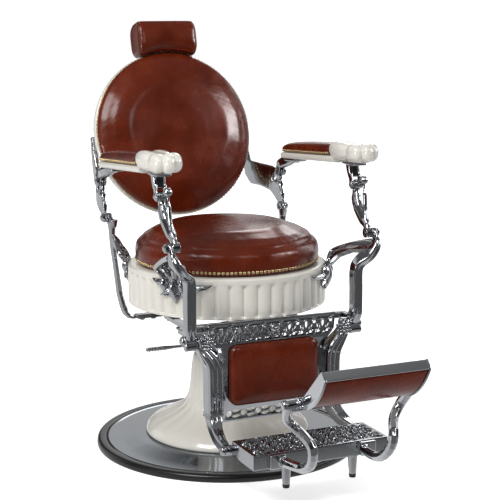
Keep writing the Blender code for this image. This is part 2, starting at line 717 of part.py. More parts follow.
def front_bar_z():
    return FRAME_Z + FRONT_BAR_RISE + FRONT_BAR_HEIGHT / 2


def front_bracket_x():
    """The middle of the web that reaches back from the front post's foot to the front bar."""
    return FRONT_LEG_X - 0.002


def build_rear_post():
    """The rear casting: a flared cup, a slim leg that turns in under the seat, and a skirt arm."""
    section = rounded_section(0.3, 1)
    y = REAR_PIVOT_Y
    foot_z = FRAME_Z + RAIL_THICKNESS + GAP + RAIL_THICKNESS / 2
    leg = sweep("leg", [
        (REAR_POST_X, y - 0.022, PIVOT_Z - 0.008, 0.026, 0.026),
        (REAR_POST_X - 0.001, y - 0.022, PIVOT_Z - 0.030, 0.019, 0.021),
        (REAR_POST_X - 0.003, y - 0.020, PIVOT_Z - 0.075, 0.016, 0.021),
        (REAR_LEG_X + 0.006, y - 0.018, FRAME_Z + 0.165, REAR_LEG_WIDTH * 0.85, REAR_LEG_DEPTH),
        (REAR_LEG_X - 0.004, y - 0.022, FRAME_Z + 0.080, REAR_LEG_WIDTH, REAR_LEG_DEPTH),
        (REAR_LEG_X - 0.016, REAR_STRAP_Y, FRAME_Z + 0.034, REAR_LEG_WIDTH, REAR_LEG_DEPTH + 0.003)],
        section, None, 10)
    ankle = sweep("ankle", [
        (REAR_LEG_X - 0.014, REAR_STRAP_Y, FRAME_Z + 0.042, 0.022, 0.018),
        (REAR_LEG_X - 0.020, REAR_STRAP_Y, FRAME_Z + 0.026, 0.025, 0.015),
        (REAR_LEG_X - 0.033, REAR_STRAP_Y, foot_z, REAR_STRAP_WIDTH, RAIL_THICKNESS),
        (rear_foot_x(), REAR_STRAP_Y, foot_z, REAR_STRAP_WIDTH, RAIL_THICKNESS)], section, None, 5,
        (0.0, 1.0, 0.0))
    cup = cylinder("cup", (REAR_POST_X - 0.004, y - 0.026, PIVOT_Z - 0.014), 0.009, 0.022, "Z",
                   top_radius=0.0135)
    eye = cylinder("eye", (REAR_POST_X, y, PIVOT_Z), EYE_RADIUS, POST_EYE_WIDTH, "X")
    neck = box("neck", (REAR_POST_X, y - 0.011, PIVOT_Z - 0.006), (POST_EYE_WIDTH, 0.022, 0.014))
    end = skirt_contact(REAR_ORNAMENT_ANGLE, 1.0, 0.006)
    arm_end_z = SKIRT_TOP + 0.004
    arm = sweep("arm", [
        (REAR_POST_X - 0.002, y - 0.020, PIVOT_Z - 0.055, 0.013, 0.024),
        (REAR_POST_X - 0.008, y - 0.034, PIVOT_Z - 0.074, 0.016, 0.024),
        (end.x + 0.004, end.y + 0.012, arm_end_z + 0.006, 0.019, 0.018),
        (end.x, end.y, arm_end_z - 0.008, 0.018, 0.014)], section, None, 6)
    post = union(leg, [ankle, cup, eye, neck, arm, skirt_foot(REAR_ORNAMENT_ANGLE, 1.0, 0.044),
                       build_ornament(REAR_ORNAMENT_ANGLE, 1.0)])
    drill = cylinder("drill", (REAR_POST_X, y, PIVOT_Z), PIVOT_PIN_RADIUS + GAP, 0.05, "X", segments=12)
    return both_sides(cut(post, [drill]), "rear_post", "chrome")


def leaf_outline(length, width, steps=4):
    """A pointed leaf along +X from the origin, as (x, y) pairs."""
    upper = [(length * i / steps, width / 2 * math.sin(math.pi * (i / steps) ** 0.75))
             for i in range(1, steps)]
    return [(0.0, 0.0)] + upper + [(length, 0.0)] + [(x, -y) for x, y in reversed(upper)]


def domed_leaf(name, root, direction, length, width, rise, frame):
    """A leaf with a raised middle: its outline narrows in three steps towards the viewer."""
    outline = leaf_outline(length, width)
    centre = Vector((length * 0.45, 0.0))
    rings = []
    for share, height in ((1.0, 0.0), (0.95, 0.45), (0.35, 1.0)):
        rings.append([(centre.x + (x - centre.x) * share, centre.y + (y - centre.y) * share, rise * height)
                      for x, y in outline])
    leaf = loft(name, [[Vector(p) for p in ring] for ring in rings], None)
    turn = Matrix.Rotation(direction, 4, "Z")
    leaf.data.transform(frame @ Matrix.Translation((root[0], root[1], 0.0)) @ turn)
    return leaf


def build_ornament(angle, sign):
    """A leaf spray on the skirt below a frame arm: a drop, two shoulder leaves, two side leaves."""
    outward = skirt_contact(angle, sign, 0.0).normalized()
    base = outward * (SKIRT_RADIUS + GAP)
    base.z = SKIRT_TOP - 0.034
    across = Vector((0.0, 0.0, 1.0)).cross(outward)
    frame = Matrix((
        (across.x, 0.0, outward.x, base.x), (across.y, 0.0, outward.y, base.y),
        (0.0, 1.0, 0.0, base.z), (0.0, 0.0, 0.0, 1.0)))
    drop = domed_leaf("drop", (0.0, 0.0), -math.pi / 2, 0.036, 0.026, 0.014, frame)
    others = [domed_leaf("leaf", (side * 0.006, 0.002), -math.pi / 2 + side * math.radians(66.0),
                         0.048, 0.020, 0.011, frame) for side in (1.0, -1.0)]
    return union(drop, others)


def build_pins():
    """Pivot pins with a domed head outside: through each post's eye into the link or the bracket."""
    inner = LINK_LOW_X - LINK_WIDTH / 2 - 0.003
    outer = POST_X + POST_EYE_WIDTH / 2 + GAP
    front = pin_with_dome(1.0, inner, outer, FRONT_PIVOT_Y, PIVOT_Z)
    inner = REAR_POST_X - POST_EYE_WIDTH / 2 - 0.003
    outer = BRACKET_X + BRACKET_THICKNESS / 2 + GAP
    rear = pin_with_dome(1.0, inner, outer, REAR_PIVOT_Y, PIVOT_Z)
    return (list(both_sides(front, "front_pivot_pin", "chrome").values())
            + list(both_sides(rear, "rear_pivot_pin", "chrome").values()))


def pin_with_dome(side, inner, outer, y, z):
    shank = cylinder("pin", (side * (inner + outer + 0.002) / 2, y, z), PIVOT_PIN_RADIUS,
                     outer + 0.002 - inner, "X", segments=12)
    cap = dome("cap", (side * outer, y, z), side, DOME_RADIUS, DOME_HEIGHT, None)
    return union(shank, [cap])


# ---------------------------------------------------------------- seat
def build_skirt():
    """The fluted band round the seat, with a plain rounded top band and an inward lip."""
    columns = SKIRT_FLUTES * 2
    flute_top = SKIRT_TOP - SKIRT_BAND
    outer = [(0.0, SKIRT_Z, 1.0), (0.0, flute_top - 0.007, 1.0), (0.0, flute_top, 0.0),
             (0.0, SKIRT_TOP - 0.010, 0.0), (-0.006, SKIRT_TOP, 0.0)]
    rings = []
    for inset, z, share in outer:
        rings.append([(SKIRT_RADIUS + inset - SKIRT_FLUTE_DEPTH * share * (i % 2),
                       math.tau * i / columns, z) for i in range(columns)])
    wall = SKIRT_RADIUS - SKIRT_WALL
    for radius, z in ((wall - SKIRT_LIP, SKIRT_TOP), (wall - SKIRT_LIP, SKIRT_TOP - 0.005),
                      (wall, SKIRT_TOP - 0.005), (wall, SKIRT_Z)):
        rings.append([(radius, math.tau * i / columns, z) for i in range(columns)])
    return smooth(ring_solid("seat_skirt", rings, "enamel"), math.radians(60.0))


def build_seat():
    pan_top = SKIRT_TOP - 0.005 - GAP
    pan_radius = SKIRT_RADIUS - SKIRT_WALL - RUNNING_GAP
    pan = cylinder("seat_pan", (0.0, 0.0, pan_top - PAN_THICKNESS / 2), pan_radius, PAN_THICKNESS,
                   segments=32)
    low = SKIRT_TOP + GAP
    r, h = CUSHION_RADIUS, CUSHION_HEIGHT
    cushion = turned("seat_cushion", [
        (0.0, low + h), (r * 0.45, low + 0.98 * h), (r * 0.80, low + 0.90 * h), (r * 0.94, low + 0.78 * h),
        (r, low + 0.50 * h), (r, low + 0.30 * h), (r * 0.972, low), (0.0, low)], "leather", 40)
    return [build_skirt(), named(pan, "seat_pan", "wood"), smooth(frozen(cushion), math.radians(60.0))]


# ---------------------------------------------------------------- backrest
def back_frame():
    return Matrix.Translation(BACK_CENTRE) @ Matrix.Rotation(math.pi / 2 - BACK_TILT, 4, "X")


def build_back():
    place = back_frame()
    r, d = SHELL_RADIUS, SHELL_DEPTH
    shell = turned("back_shell", [
        (0.0, SHELL_WALL - d - 0.014), (0.4 * r, SHELL_WALL - d - 0.010),
        (0.75 * r - 0.002, SHELL_WALL - d),
        (r - 0.030, -0.70 * d), (r - SHELL_LIP, -SHELL_WALL), (r - SHELL_LIP, 0.0), (r - 0.006, 0.0),
        (r - 0.001, -0.003), (r, -0.008), (r - 0.004, -0.5 * d), (r - 0.022, -0.82 * d), (0.75 * r, -d),
        (0.4 * r, -d - 0.010), (0.0, -d - 0.014)], "enamel", 40)
    shell.matrix_world = place
    c, h = BACK_CUSHION_RADIUS, BACK_CUSHION_HEIGHT
    cushion = turned("back_cushion", [
        (0.0, h), (0.45 * c, 0.94 * h), (0.76 * c, 0.76 * h), (0.93 * c, 0.50 * h), (c, 0.18 * h),
        (0.99 * c, GAP), (0.0, GAP)], "leather", 40)
    cushion.matrix_world = place
    return [smooth(frozen(shell)), smooth(frozen(cushion), math.radians(60.0))]


def build_back_bracket():
    """The side casting of the back: two pivot eyes, a pierced web and a flange along the shell."""
    low = Vector((REAR_PIVOT_Y, PIVOT_Z))
    top = Vector((ARM_PIVOT.y, ARM_PIVOT.z))
    shell_y = BACK_Y
    outline = [(low.x - 0.010, low.y + 0.002), (low.x + 0.006, low.y - 0.011),
               (low.x + 0.034, low.y + 0.016),
               (low.x + 0.070, low.y + 0.040), (low.x + 0.115, low.y + 0.052),
               (shell_y - 0.030, low.y + 0.054),
               (shell_y + 0.004, low.y + 0.080), (shell_y + 0.022, low.y + 0.14),
               (shell_y + 0.032, low.y + 0.205),
               (shell_y + 0.018, low.y + 0.208), (shell_y + 0.008, low.y + 0.160),
               (shell_y - 0.014, low.y + 0.121),
               (shell_y - 0.075, low.y + 0.114), (top.x + 0.030, top.y + 0.010),
               (top.x + 0.004, top.y + 0.012),
               (top.x - 0.012, top.y), (low.x + 0.010, low.y + 0.060)]
    slot = [(low.x + 0.048, low.y + 0.068), (low.x + 0.060, low.y + 0.066), (low.x + 0.064, low.y + 0.078),
            (low.x + 0.052, low.y + 0.094), (low.x + 0.041, low.y + 0.092), (low.x + 0.040, low.y + 0.080)]
    side_prism = plate("side", [outline, slot], 0.12,
                       Matrix.Translation((BRACKET_X - 0.03, 0.0, 0.0)) @ YZ_PLANE)
    bend_start = top.x + 0.020
    steps = 12
    outer_edge, inner_edge = [(BRACKET_X + BRACKET_THICKNESS / 2, low.x - 0.05)], []
    inner_edge.append((BRACKET_X - BRACKET_THICKNESS / 2, low.x - 0.05))
    for i in range(steps + 1):
        y = bend_start + (shell_y + 0.04 - bend_start) * i / steps
        shift = bracket_bend(y, bend_start)
        outer_edge.append((BRACKET_X + BRACKET_THICKNESS / 2 - shift, y))
        inner_edge.append((BRACKET_X - BRACKET_THICKNESS / 2 - shift, y))
    strip = plate("strip", [outer_edge + inner_edge[::-1]], 0.5,
                  Matrix.Translation((0.0, 0.0, low.y + 0.1)))
    web = combined(strip, [side_prism], "INTERSECT")
    eyes = [cylinder("eye", (BRACKET_X, low.x, low.y), EYE_RADIUS, BRACKET_THICKNESS, "X"),
            cylinder("eye", (BRACKET_X, top.x, top.y), EYE_RADIUS, BRACKET_THICKNESS, "X")]
    drills = [cylinder("drill", (BRACKET_X, low.x, low.y), PIVOT_PIN_RADIUS + RUNNING_GAP, 0.05, "X",
                       segments=12),
              cylinder("drill", (BRACKET_X, top.x, top.y), PIVOT_PIN_RADIUS + GAP, 0.05, "X", segments=12)]
    r, d = SHELL_RADIUS + GAP, SHELL_DEPTH + GAP
    relief = turned("relief", [
        (0.0, 0.02), (r, 0.02), (r, -0.008), (r - 0.004, -0.5 * d), (r - 0.022, -0.82 * d), (0.75 * r, -d),
        (0.4 * r, -d - 0.010), (0.0, -d - 0.014)], None, 40)
    relief.matrix_world = back_frame()
    web = cut(web, [frozen(relief)])
    return both_sides(cut(union(web, eyes), drills), "back_bracket", "chrome")


def bracket_bend(y, start):
    """How far the web has turned in towards the shell at a depth."""
    share = min(max((y - start) / (BACK_Y - 0.005 - start), 0.0), 1.0)
    return (BRACKET_X - SHELL_RADIUS + 0.002) * share * share * (3 - 2 * share)


# ---------------------------------------------------------------- headrest
def build_headrest():
    """The neck cushion, its hinged mount, and the flat bar that slides in the shell's socket."""
    place = back_frame()
    half = HEADREST_WIDTH / 2
    section = rounded_section(0.30, 3)
    rings = []
    for share, shrink in ((-1.0, 0.72), (-0.96, 0.90), (-0.88, 1.0), (-0.55, 1.0), (-0.2, 1.0), (0.2, 1.0),
                          (0.55, 1.0), (0.88, 1.0), (0.96, 0.90), (1.0, 0.72)):
        x = half * share
        low = math.sqrt((SHELL_RADIUS + HEADREST_CLEAR) ** 2 - x * x)
        middle, tall = (low + HEADREST_TOP) / 2, HEADREST_TOP - low
        rings.append([place @ Vector((x, middle + v * tall * shrink, u * HEADREST_DEPTH * shrink))
                      for u, v in section])
    cushion = loft("headrest_cushion", rings, "leather")

    back_face = -HEADREST_DEPTH / 2 - GAP
    hinge_n = HEAD_BAR_BACK
    plate_thickness = 0.004
    mount = box("mount", (0.0, HEAD_HINGE_UP, back_face - plate_thickness / 2),
                (0.100, 0.044, plate_thickness),
                None, 0.001)
    ear_inner = HEAD_BAR_WIDTH / 2 + GAP
    ear_width = 0.006
    reach = back_face - hinge_n
    others = []
    for _, side in SIDES:
        x = side * (ear_inner + ear_width / 2)
        others.append(box("ear", (x, HEAD_HINGE_UP, hinge_n + reach / 2 - 0.001),
                          (ear_width, 0.018, reach)))
        others.append(cylinder("eye", (x, HEAD_HINGE_UP, hinge_n), 0.009, ear_width, "X"))
    pin_radius = 0.004
    drill = cylinder("drill", (0.0, HEAD_HINGE_UP, hinge_n), pin_radius + GAP, 0.08, "X", segments=12)
    mount = cut(union(mount, others), [drill])
    mount.data.transform(place)

    bar_low = 0.088
    bar = box("bar", (0.0, (bar_low + HEAD_HINGE_UP) / 2, hinge_n),
              (HEAD_BAR_WIDTH, HEAD_HINGE_UP - bar_low, HEAD_BAR_THICKNESS), None, 0.0015)
    bar_eye = cylinder("eye", (0.0, HEAD_HINGE_UP, hinge_n), 0.009, HEAD_BAR_WIDTH, "X")
    drill = cylinder("drill", (0.0, HEAD_HINGE_UP, hinge_n), pin_radius + RUNNING_GAP, 0.08, "X",
                     segments=12)
    bar = cut(union(bar, [bar_eye]), [drill])
    bar.data.transform(place)
    pin = cylinder("headrest_pin", (0.0, HEAD_HINGE_UP, hinge_n), pin_radius,
                   2 * (ear_inner + ear_width) + 0.004,
                   "X", segments=12)
    pin.data.transform(place)

    socket = box("socket", (0.0, 0.145, -0.052), (HEAD_BAR_WIDTH + 0.018, 0.080, 0.044), None, 0.003)
    slot = box("slot", (0.0, 0.145, hinge_n), (HEAD_BAR_WIDTH + 2 * RUNNING_GAP, 0.20,
                                              HEAD_BAR_THICKNESS + 2 * RUNNING_GAP))
    r, d = SHELL_RADIUS, SHELL_DEPTH + GAP
    relief = turned("relief", [
        (0.0, 0.02), (r, 0.02), (r, -0.008), (r - 0.004, -0.5 * d), (r - 0.022, -0.82 * d), (0.75 * r, -d),
        (0.4 * r, -d - 0.010), (0.0, -d - 0.014)], None, 40)
    socket = cut(socket, [slot, frozen(relief)])
    socket.data.transform(place)
    return {
        "tilt": [smooth(cushion, math.radians(50.0)), named(mount, "headrest_mount", "chrome"),
                 named(pin, "headrest_pin", "steel")],
        "slide": [named(bar, "headrest_bar", "chrome")],
        "back": [named(socket, "headrest_socket", "chrome")],
    }


def head_hinge():
    return back_frame() @ Vector((0.0, HEAD_HINGE_UP, HEAD_BAR_BACK))


# ---------------------------------------------------------------- front links
def build_link():
    """One casting: two eyes, a curved bar, and a slim spur that rises to a ball finial."""
    low = Vector((LINK_LOW_X, FRONT_PIVOT_Y, PIVOT_Z))
    top = Vector((LINK_TOP_X, LINK_TOP.y, LINK_TOP.z))
    w, d = LINK_WIDTH, LINK_DEPTH

    def at(share_back, share_up, width, depth):
        return (low.x + (top.x - low.x) * share_up, low.y + LINK_REACH * share_back,
                low.z + LINK_RISE * share_up, width, depth)

    bar = sweep("bar", [
        at(0.0, 0.02, 0.90 * w, d), at(0.10, 0.14, 0.92 * w, 1.2 * d), at(0.45, 0.32, 0.92 * w, 1.5 * d),
        at(0.80, 0.52, 0.90 * w, 1.45 * d), at(0.96, 0.76, 0.92 * w, 1.25 * d), at(1.0, 1.0, 0.90 * w, d)],
        rounded_section(0.3, 1), None, 10)
    eyes = [cylinder("eye", low, EYE_RADIUS, w, "X"), cylinder("eye", top, EYE_RADIUS, w, "X")]
    ball_place = Vector((top.x - 0.001, top.y - 0.043, top.z + 0.016))
    ball = sphere("ball", ball_place, 0.0122)
    neck = sweep("neck", [(top.x, top.y - 0.006, top.z + 0.003, 0.011, 0.012),
                          ((top.x + ball_place.x) / 2, top.y - 0.022, top.z + 0.010, 0.009, 0.009),
                          (ball_place.x, ball_place.y + 0.004, ball_place.z - 0.001, 0.011, 0.011)],
                 round_section(8), None, 4)
    spur = sweep("spur", [(ball_place.x, ball_place.y, ball_place.z - 0.004, 0.008, 0.008),
                          (ball_place.x, ball_place.y - 0.006, ball_place.z - 0.034, 0.006, 0.006),
                          (top.x - 0.002, low.y + 0.023, low.z + 0.060, 0.006, 0.006),
                          (low.x + 0.001, low.y + 0.014, low.z + 0.034, 0.008, 0.009)],
                 round_section(6), None, 8)
    drill = cylinder("drill", low, PIVOT_PIN_RADIUS + RUNNING_GAP, 0.05, "X", segments=12)
    link = cut(union(bar, eyes + [neck, ball, spur]), [drill])
    return both_sides(link, "front_link", "chrome")


# ---------------------------------------------------------------- armrests
def arm_bottom(y):
    """Height of the arm body's underside, which climbs a little towards the front."""
    return ARM_PIVOT.z + 0.0605 - 0.0667 * y


ARM_BODY_HEIGHT = 0.021
PAW_HEIGHT = 0.056


def paw_outline(steps=10):
    """The paw seen from above, from its back edge round the nose: two side lobes, two front ones."""
    half = ARM_WIDTH / 2
    back = ARM_PAD_END_Y
    nose_y = ARM_FRONT_Y + half + 0.003
    side = [(half * 0.97, back), (half * 1.08, back - 0.030), (half * 1.12, back - 0.060),
            (half * 1.07, back - 0.088)]
    nose = []
    for i in range(steps + 1):
        angle = math.radians(78.0) * (1 - 2 * i / steps)
        lobe = abs(math.sin(angle * math.pi / math.radians(78.0)))
        reach = half * (0.98 + 0.16 * lobe ** 0.7)
        nose.append((reach * math.sin(angle), nose_y - reach * math.cos(angle)))
    return side + nose + [(-x, y) for x, y in reversed(side)]


def build_arm():
    """The enamelled arm body with its lobed paw, and the padded leather top."""
    body_section = rounded_section(0.22, 2)

    def station(y, width, height):
        return (ARM_X, y, arm_bottom(y) + ARM_BODY_HEIGHT - height / 2, width, height)

    body = sweep("body", [
        station(ARM_REAR_Y, ARM_WIDTH * 0.80, ARM_BODY_HEIGHT * 0.8),
        station(ARM_REAR_Y - 0.006, ARM_WIDTH * 0.94, 0.021),
        station(ARM_REAR_Y - 0.03, ARM_WIDTH, ARM_BODY_HEIGHT), station(0.0, ARM_WIDTH, ARM_BODY_HEIGHT),
        station(ARM_PAD_END_Y - 0.02, ARM_WIDTH * 0.96, ARM_BODY_HEIGHT)], body_section, None, 9)
    outline = paw_outline()
    paw_low = arm_bottom(ARM_PAD_END_Y) + 0.009
    rings = []
    for height, share in ((0.0, 0.80), (0.20, 0.98), (0.45, 1.0), (0.70, 0.96), (0.90, 0.80), (1.0, 0.52)):
        rings.append([Vector((ARM_X + x * share, ARM_PAD_END_Y + (y - ARM_PAD_END_Y) * (0.35 + 0.65 * share),
                              paw_low + PAW_HEIGHT * height)) for x, y in outline])
    paw = loft("paw", rings, None)
    arm = union(body, [paw])

    pad_section = [(-0.5, -0.5), (0.5, -0.5), (0.5, -0.05), (0.46, 0.22), (0.34, 0.41), (0.17, 0.485),
                   (0.0, 0.5),
                   (-0.17, 0.485), (-0.34, 0.41), (-0.46, 0.22), (-0.5, -0.05)]

    def pad_station(y, width, height):
        return (ARM_X, y, arm_bottom(y) + ARM_BODY_HEIGHT + GAP + height / 2, width, height)

    width = ARM_WIDTH - 0.004
    front = ARM_PAD_END_Y + GAP
    pad = sweep("pad", [
        pad_station(ARM_REAR_Y - 0.002, width * 0.86, 0.012), pad_station(ARM_REAR_Y - 0.012, width * 0.97,
                                                                          0.022),
        pad_station(ARM_REAR_Y - 0.050, width, 0.030), pad_station(0.010, width, 0.034),
        pad_station(front, width * 0.97, 0.034)], pad_section, None, 12)
    square_end = cutter_beyond(front)
    pad = cut(pad, [square_end])
    return both_sides(arm, "arm_body", "enamel"), both_sides(pad, "arm_pad", "leather")


def cutter_beyond(y):
    """A block that squares off whatever reaches in front of a depth."""
    return box("beyond", (ARM_X, y - 0.02, ARM_PIVOT.z + 0.1), (0.2, 0.04, 0.2))


def build_front_clevis():
    """The plate under the paw and its two ears, which straddle the link's upper eye."""
    thickness = 0.005
    plate_top = arm_bottom(ARM_PAD_END_Y) + 0.009 - GAP
    plate_z = plate_top - thickness / 2
    middle_y = LINK_TOP.y + 0.012
    clevis = box("plate", (LINK_TOP_X, middle_y, plate_z), (0.040, 0.066, thickness), None, 0.0015)
    others = []
    for _, side in SIDES:
        x = LINK_TOP_X + side * (LINK_WIDTH / 2 + RUNNING_GAP + CLEVIS_EAR / 2)
        others.append(sweep("ear", [
            (x, LINK_TOP.y + 0.010, LINK_TOP.z + 0.026, CLEVIS_EAR, 0.018),
            (x, LINK_TOP.y, LINK_TOP.z, CLEVIS_EAR, 0.022)], rounded_section(0.2, 1), None, 3))
        others.append(cylinder("eye", (x, LINK_TOP.y, LINK_TOP.z), EYE_RADIUS - 0.001, CLEVIS_EAR, "X"))
        others.append(dome("cap", (x + side * (CLEVIS_EAR / 2 - 0.0005), LINK_TOP.y, LINK_TOP.z), side,
                           0.0085, 0.006,
                           None, 8))
    wide = LINK_WIDTH + 2 * (RUNNING_GAP + CLEVIS_EAR)
    others.append(sweep("strap", [
        (LINK_TOP_X, LINK_TOP.y + 0.022, plate_z - 0.001, wide, 0.030),
        (LINK_TOP_X, LINK_TOP.y + 0.019, plate_z - 0.016, wide - 0.0005, 0.022),
        (LINK_TOP_X, LINK_TOP.y + 0.012, LINK_TOP.z + 0.0185, wide - 0.001, 0.019)],
        rounded_section(0.2, 1), None, 4))
    return both_sides(union(clevis, others), "front_clevis", "chrome")


def build_rear_clevis():
    """The strap under the arm's rear end; its two ears curl down to the back bracket's upper eye."""
    thickness = 0.005
    slope = math.atan(0.0667)
    y = ARM_REAR_Y - 0.036
    centre = Vector((BRACKET_X, y, arm_bottom(y) - GAP - thickness / 2 / math.cos(slope)))
    clevis = box("plate", (0.0, 0.0, 0.0), (0.036, 0.066, thickness), None, 0.0015)
    clevis.data.transform(Matrix.Translation(centre) @ Matrix.Rotation(-slope, 4, "X"))
    others = []
    for _, side in SIDES:
        x = BRACKET_X + side * (BRACKET_THICKNESS / 2 + RUNNING_GAP + CLEVIS_EAR / 2)
        others.append(sweep("ear", [
            (x, ARM_REAR_Y - 0.040, centre.z - 0.0030, CLEVIS_EAR, 0.008),
            (x, ARM_REAR_Y - 0.011, centre.z - 0.0055, CLEVIS_EAR, 0.010),
            (x, ARM_REAR_Y + 0.010, centre.z - 0.0105, CLEVIS_EAR, 0.018),
            (x, ARM_REAR_Y + 0.036, centre.z - 0.0150, CLEVIS_EAR, 0.023),
            (x, ARM_PIVOT.y - 0.010, ARM_PIVOT.z + 0.022, CLEVIS_EAR, 0.024),
            (x, ARM_PIVOT.y, ARM_PIVOT.z, CLEVIS_EAR, 0.022)], rounded_section(0.2, 1), None, 6))
        others.append(cylinder("eye", (x, ARM_PIVOT.y, ARM_PIVOT.z), EYE_RADIUS - 0.001, CLEVIS_EAR, "X"))
    wide = BRACKET_THICKNESS + 2 * (RUNNING_GAP + CLEVIS_EAR)
    others.append(sweep("strap", [
        (BRACKET_X, ARM_REAR_Y - 0.038, centre.z - 0.0025, wide - 0.001, 0.007),
        (BRACKET_X, ARM_REAR_Y + 0.002, centre.z - 0.0055, wide - 0.001, 0.009),
        (BRACKET_X, ARM_REAR_Y + 0.036, centre.z - 0.0085, wide - 0.001, 0.009),
        (BRACKET_X, ARM_PIVOT.y - 0.018, ARM_PIVOT.z + 0.034, wide - 0.001, 0.008)],
        rounded_section(0.2, 1), None, 4))
    drill = cylinder("drill", (BRACKET_X, ARM_PIVOT.y, ARM_PIVOT.z), PIVOT_PIN_RADIUS + RUNNING_GAP, 0.08,
                     "X",
                     segments=14)
    return both_sides(cut(union(clevis, others), [drill]), "rear_clevis", "chrome")


def build_arm_pins():
    outer = BRACKET_THICKNESS / 2 + RUNNING_GAP + CLEVIS_EAR + GAP
    pin = pin_with_dome(1.0, BRACKET_X - outer - 0.002, BRACKET_X + outer, ARM_PIVOT.y, ARM_PIVOT.z)
    return list(both_sides(pin, "arm_pivot_pin", "chrome").values())


# ---------------------------------------------------------------- legrest
def shoulder_x():
    """The middle of the legrest's hinge eye, beside the front post's boss."""
    return FRONT_LEG_X - 0.002 - (FRONT_LEG_WIDTH + 0.008) / 2 - GAP - SHOULDER_EYE_WIDTH / 2


def build_legrest_rail():
    """The side casting: hinge eye, shoulder, straight rail, and the sweep forward to the platform."""
    z = LEGREST_Z
    y = LEGREST_Y + 0.001
    x = LEGREST_RAIL_X
    w, d = LEGREST_RAIL_WIDTH, LEGREST_RAIL_DEPTH
    groove = 0.05
    ribbed = [(-0.5, -0.5), (0.40, -0.5), (0.5, -0.40), (0.5, -0.08), (0.5 - groove, 0.0), (0.5, 0.08),
              (0.5, 0.40), (0.40, 0.5), (-0.5, 0.5)]
    end = platform_hinge()
    rail = sweep("rail", [
        (shoulder_x(), y, z, 0.019, 0.028), (shoulder_x() - 0.006, y, z - 0.021, 0.024, 0.033),
        (x + 0.019, y, z - 0.043, 0.031, 0.040), (x + 0.004, y, z - 0.066, w, d), (x, y, z - 0.098, w, d),
        (x, y, z - 0.168, w, d), (x, y - 0.001, z - 0.193, w, d - 0.003),
        (x + 0.0015, y - 0.009, z - 0.215, 0.034, 0.038),
        (x + 0.007, y - 0.035, z - 0.238, 0.028, 0.031), (x + 0.013, y - 0.075, z - 0.252, 0.024, 0.027),
        (x + 0.019, y - 0.125, end.z - 0.001, 0.018, 0.022), (x + 0.020, end.y, end.z, 0.018, 0.021)],
        ribbed, None, 17)
    eye = cylinder("eye", (shoulder_x(), LEGREST_Y, z), 0.0175, SHOULDER_EYE_WIDTH, "X")
    boss = cylinder("boss", (x + 0.020, end.y, end.z), 0.0135, 0.022, "X")
    rosette = sphere("rosette", (shoulder_x() - 0.001, LEGREST_Y - 0.014, z - 0.004), 0.0165, None,
                     (0.6, 0.7, 1.0))
    others = [eye, boss, rosette]
    for drop in (0.200, 0.209):
        others.append(box("collar", (x + 0.0012, y - 0.003, z - drop), (w + 0.002, d + 0.004, 0.005), None,
                          0.0015))
    drills = [cylinder("drill", (shoulder_x(), LEGREST_Y, z), PIVOT_PIN_RADIUS + RUNNING_GAP, 0.06, "X",
                       segments=12),
              cylinder("drill", (x + 0.020, end.y, end.z), PIVOT_PIN_RADIUS + GAP, 0.06, "X", segments=12)]
    return both_sides(cut(union(rail, others), drills), "legrest_rail", "chrome")


def platform_hinge():
    """The pin that carries the platform at each rail's forward end."""
    return Vector((0.0, PLATFORM_REAR_Y + 0.0155, PLATFORM_TOP - 0.0295))


def leaf_hole(x, y, turn, length, width):
    c, s = math.cos(turn), math.sin(turn)
    return [(x + c * u - s * v, y + s * u + c * v) for u, v in leaf_outline(length, width, 3)]


def circle(x, y, radius, steps=8):
    return [(x + radius * math.cos(math.tau * i / steps), y + radius * math.sin(math.tau * i / steps))
            for i in range(steps)]


XZ_PLANE = Matrix(((1.0, 0.0, 0.0, 0.0), (0.0, 0.0, -1.0, 0.0), (0.0, 1.0, 0.0, 0.0), (0.0, 0.0, 0.0, 1.0)))


def build_web():
    """The panel behind the calf pad: leaf openings above the pad, almonds and rounds below it."""
    inner = LEGREST_RAIL_X - LEGREST_RAIL_WIDTH / 2 - 2 * GAP
    top, low = WEB_TOP_RISE, -WEB_DROP
    flare = [(inner, -0.052), (inner + 0.012, -0.030), (inner + 0.030, -0.008), (inner + 0.034, top)]
    outline = [(-inner, low), (inner, low)] + flare + [(-x, z) for x, z in reversed(flare)]
    holes = []
    pitch = 0.058
    for i in range(-2, 3):
        x = i * pitch
        holes.append(leaf_hole(x, 0.007, math.pi / 2, 0.024, 0.014))
        for side in (1.0, -1.0):
            holes.append(leaf_hole(x + side * 0.0045, -0.008, math.pi / 2 - side * math.radians(58.0),
                                   0.024, 0.010))
        if i < 2:
            holes.append(circle(x + pitch / 2, 0.022, 0.0060, 6))
    strip = low + 0.021
    for i in range(-2, 3):
        holes.append(circle(i * pitch, strip, 0.0060, 6))
        if i < 2:
            middle = (i + 0.5) * pitch
            for side in (1.0, -1.0):
                holes.append([(middle + u, strip + side * 0.009 + v) for u, v in
                              [(px - 0.018, py) for px, py in leaf_outline(0.036, 0.010, 3)]])
    place = Matrix.Translation((0.0, WEB_Y, LEGREST_Z)) @ XZ_PLANE
    web = plate("web", [outline] + holes, WEB_THICKNESS, place)
    return named(web, "legrest_web", "chrome")


def build_calf_pad():
    """The calf pad: a rounded rectangle with a softly crowned front."""
    rings = []
    section = rounded_section(0.11, 3)
    for out, shrink in ((0.0, 0.985), (0.30, 1.0), (0.62, 0.995), (0.85, 0.965), (0.97, 0.90), (1.0, 0.78)):
        y = WEB_Y - WEB_THICKNESS / 2 - GAP - PAD_THICKNESS * out
        middle = LEGREST_Z - PAD_DROP
        inset = PAD_HEIGHT * (1 - shrink)
        rings.append([Vector((u * (PAD_WIDTH - inset), y, middle + v * (PAD_HEIGHT - inset)))
                      for u, v in section])
    return smooth(loft("calf_pad", rings, "leather"), math.radians(50.0))


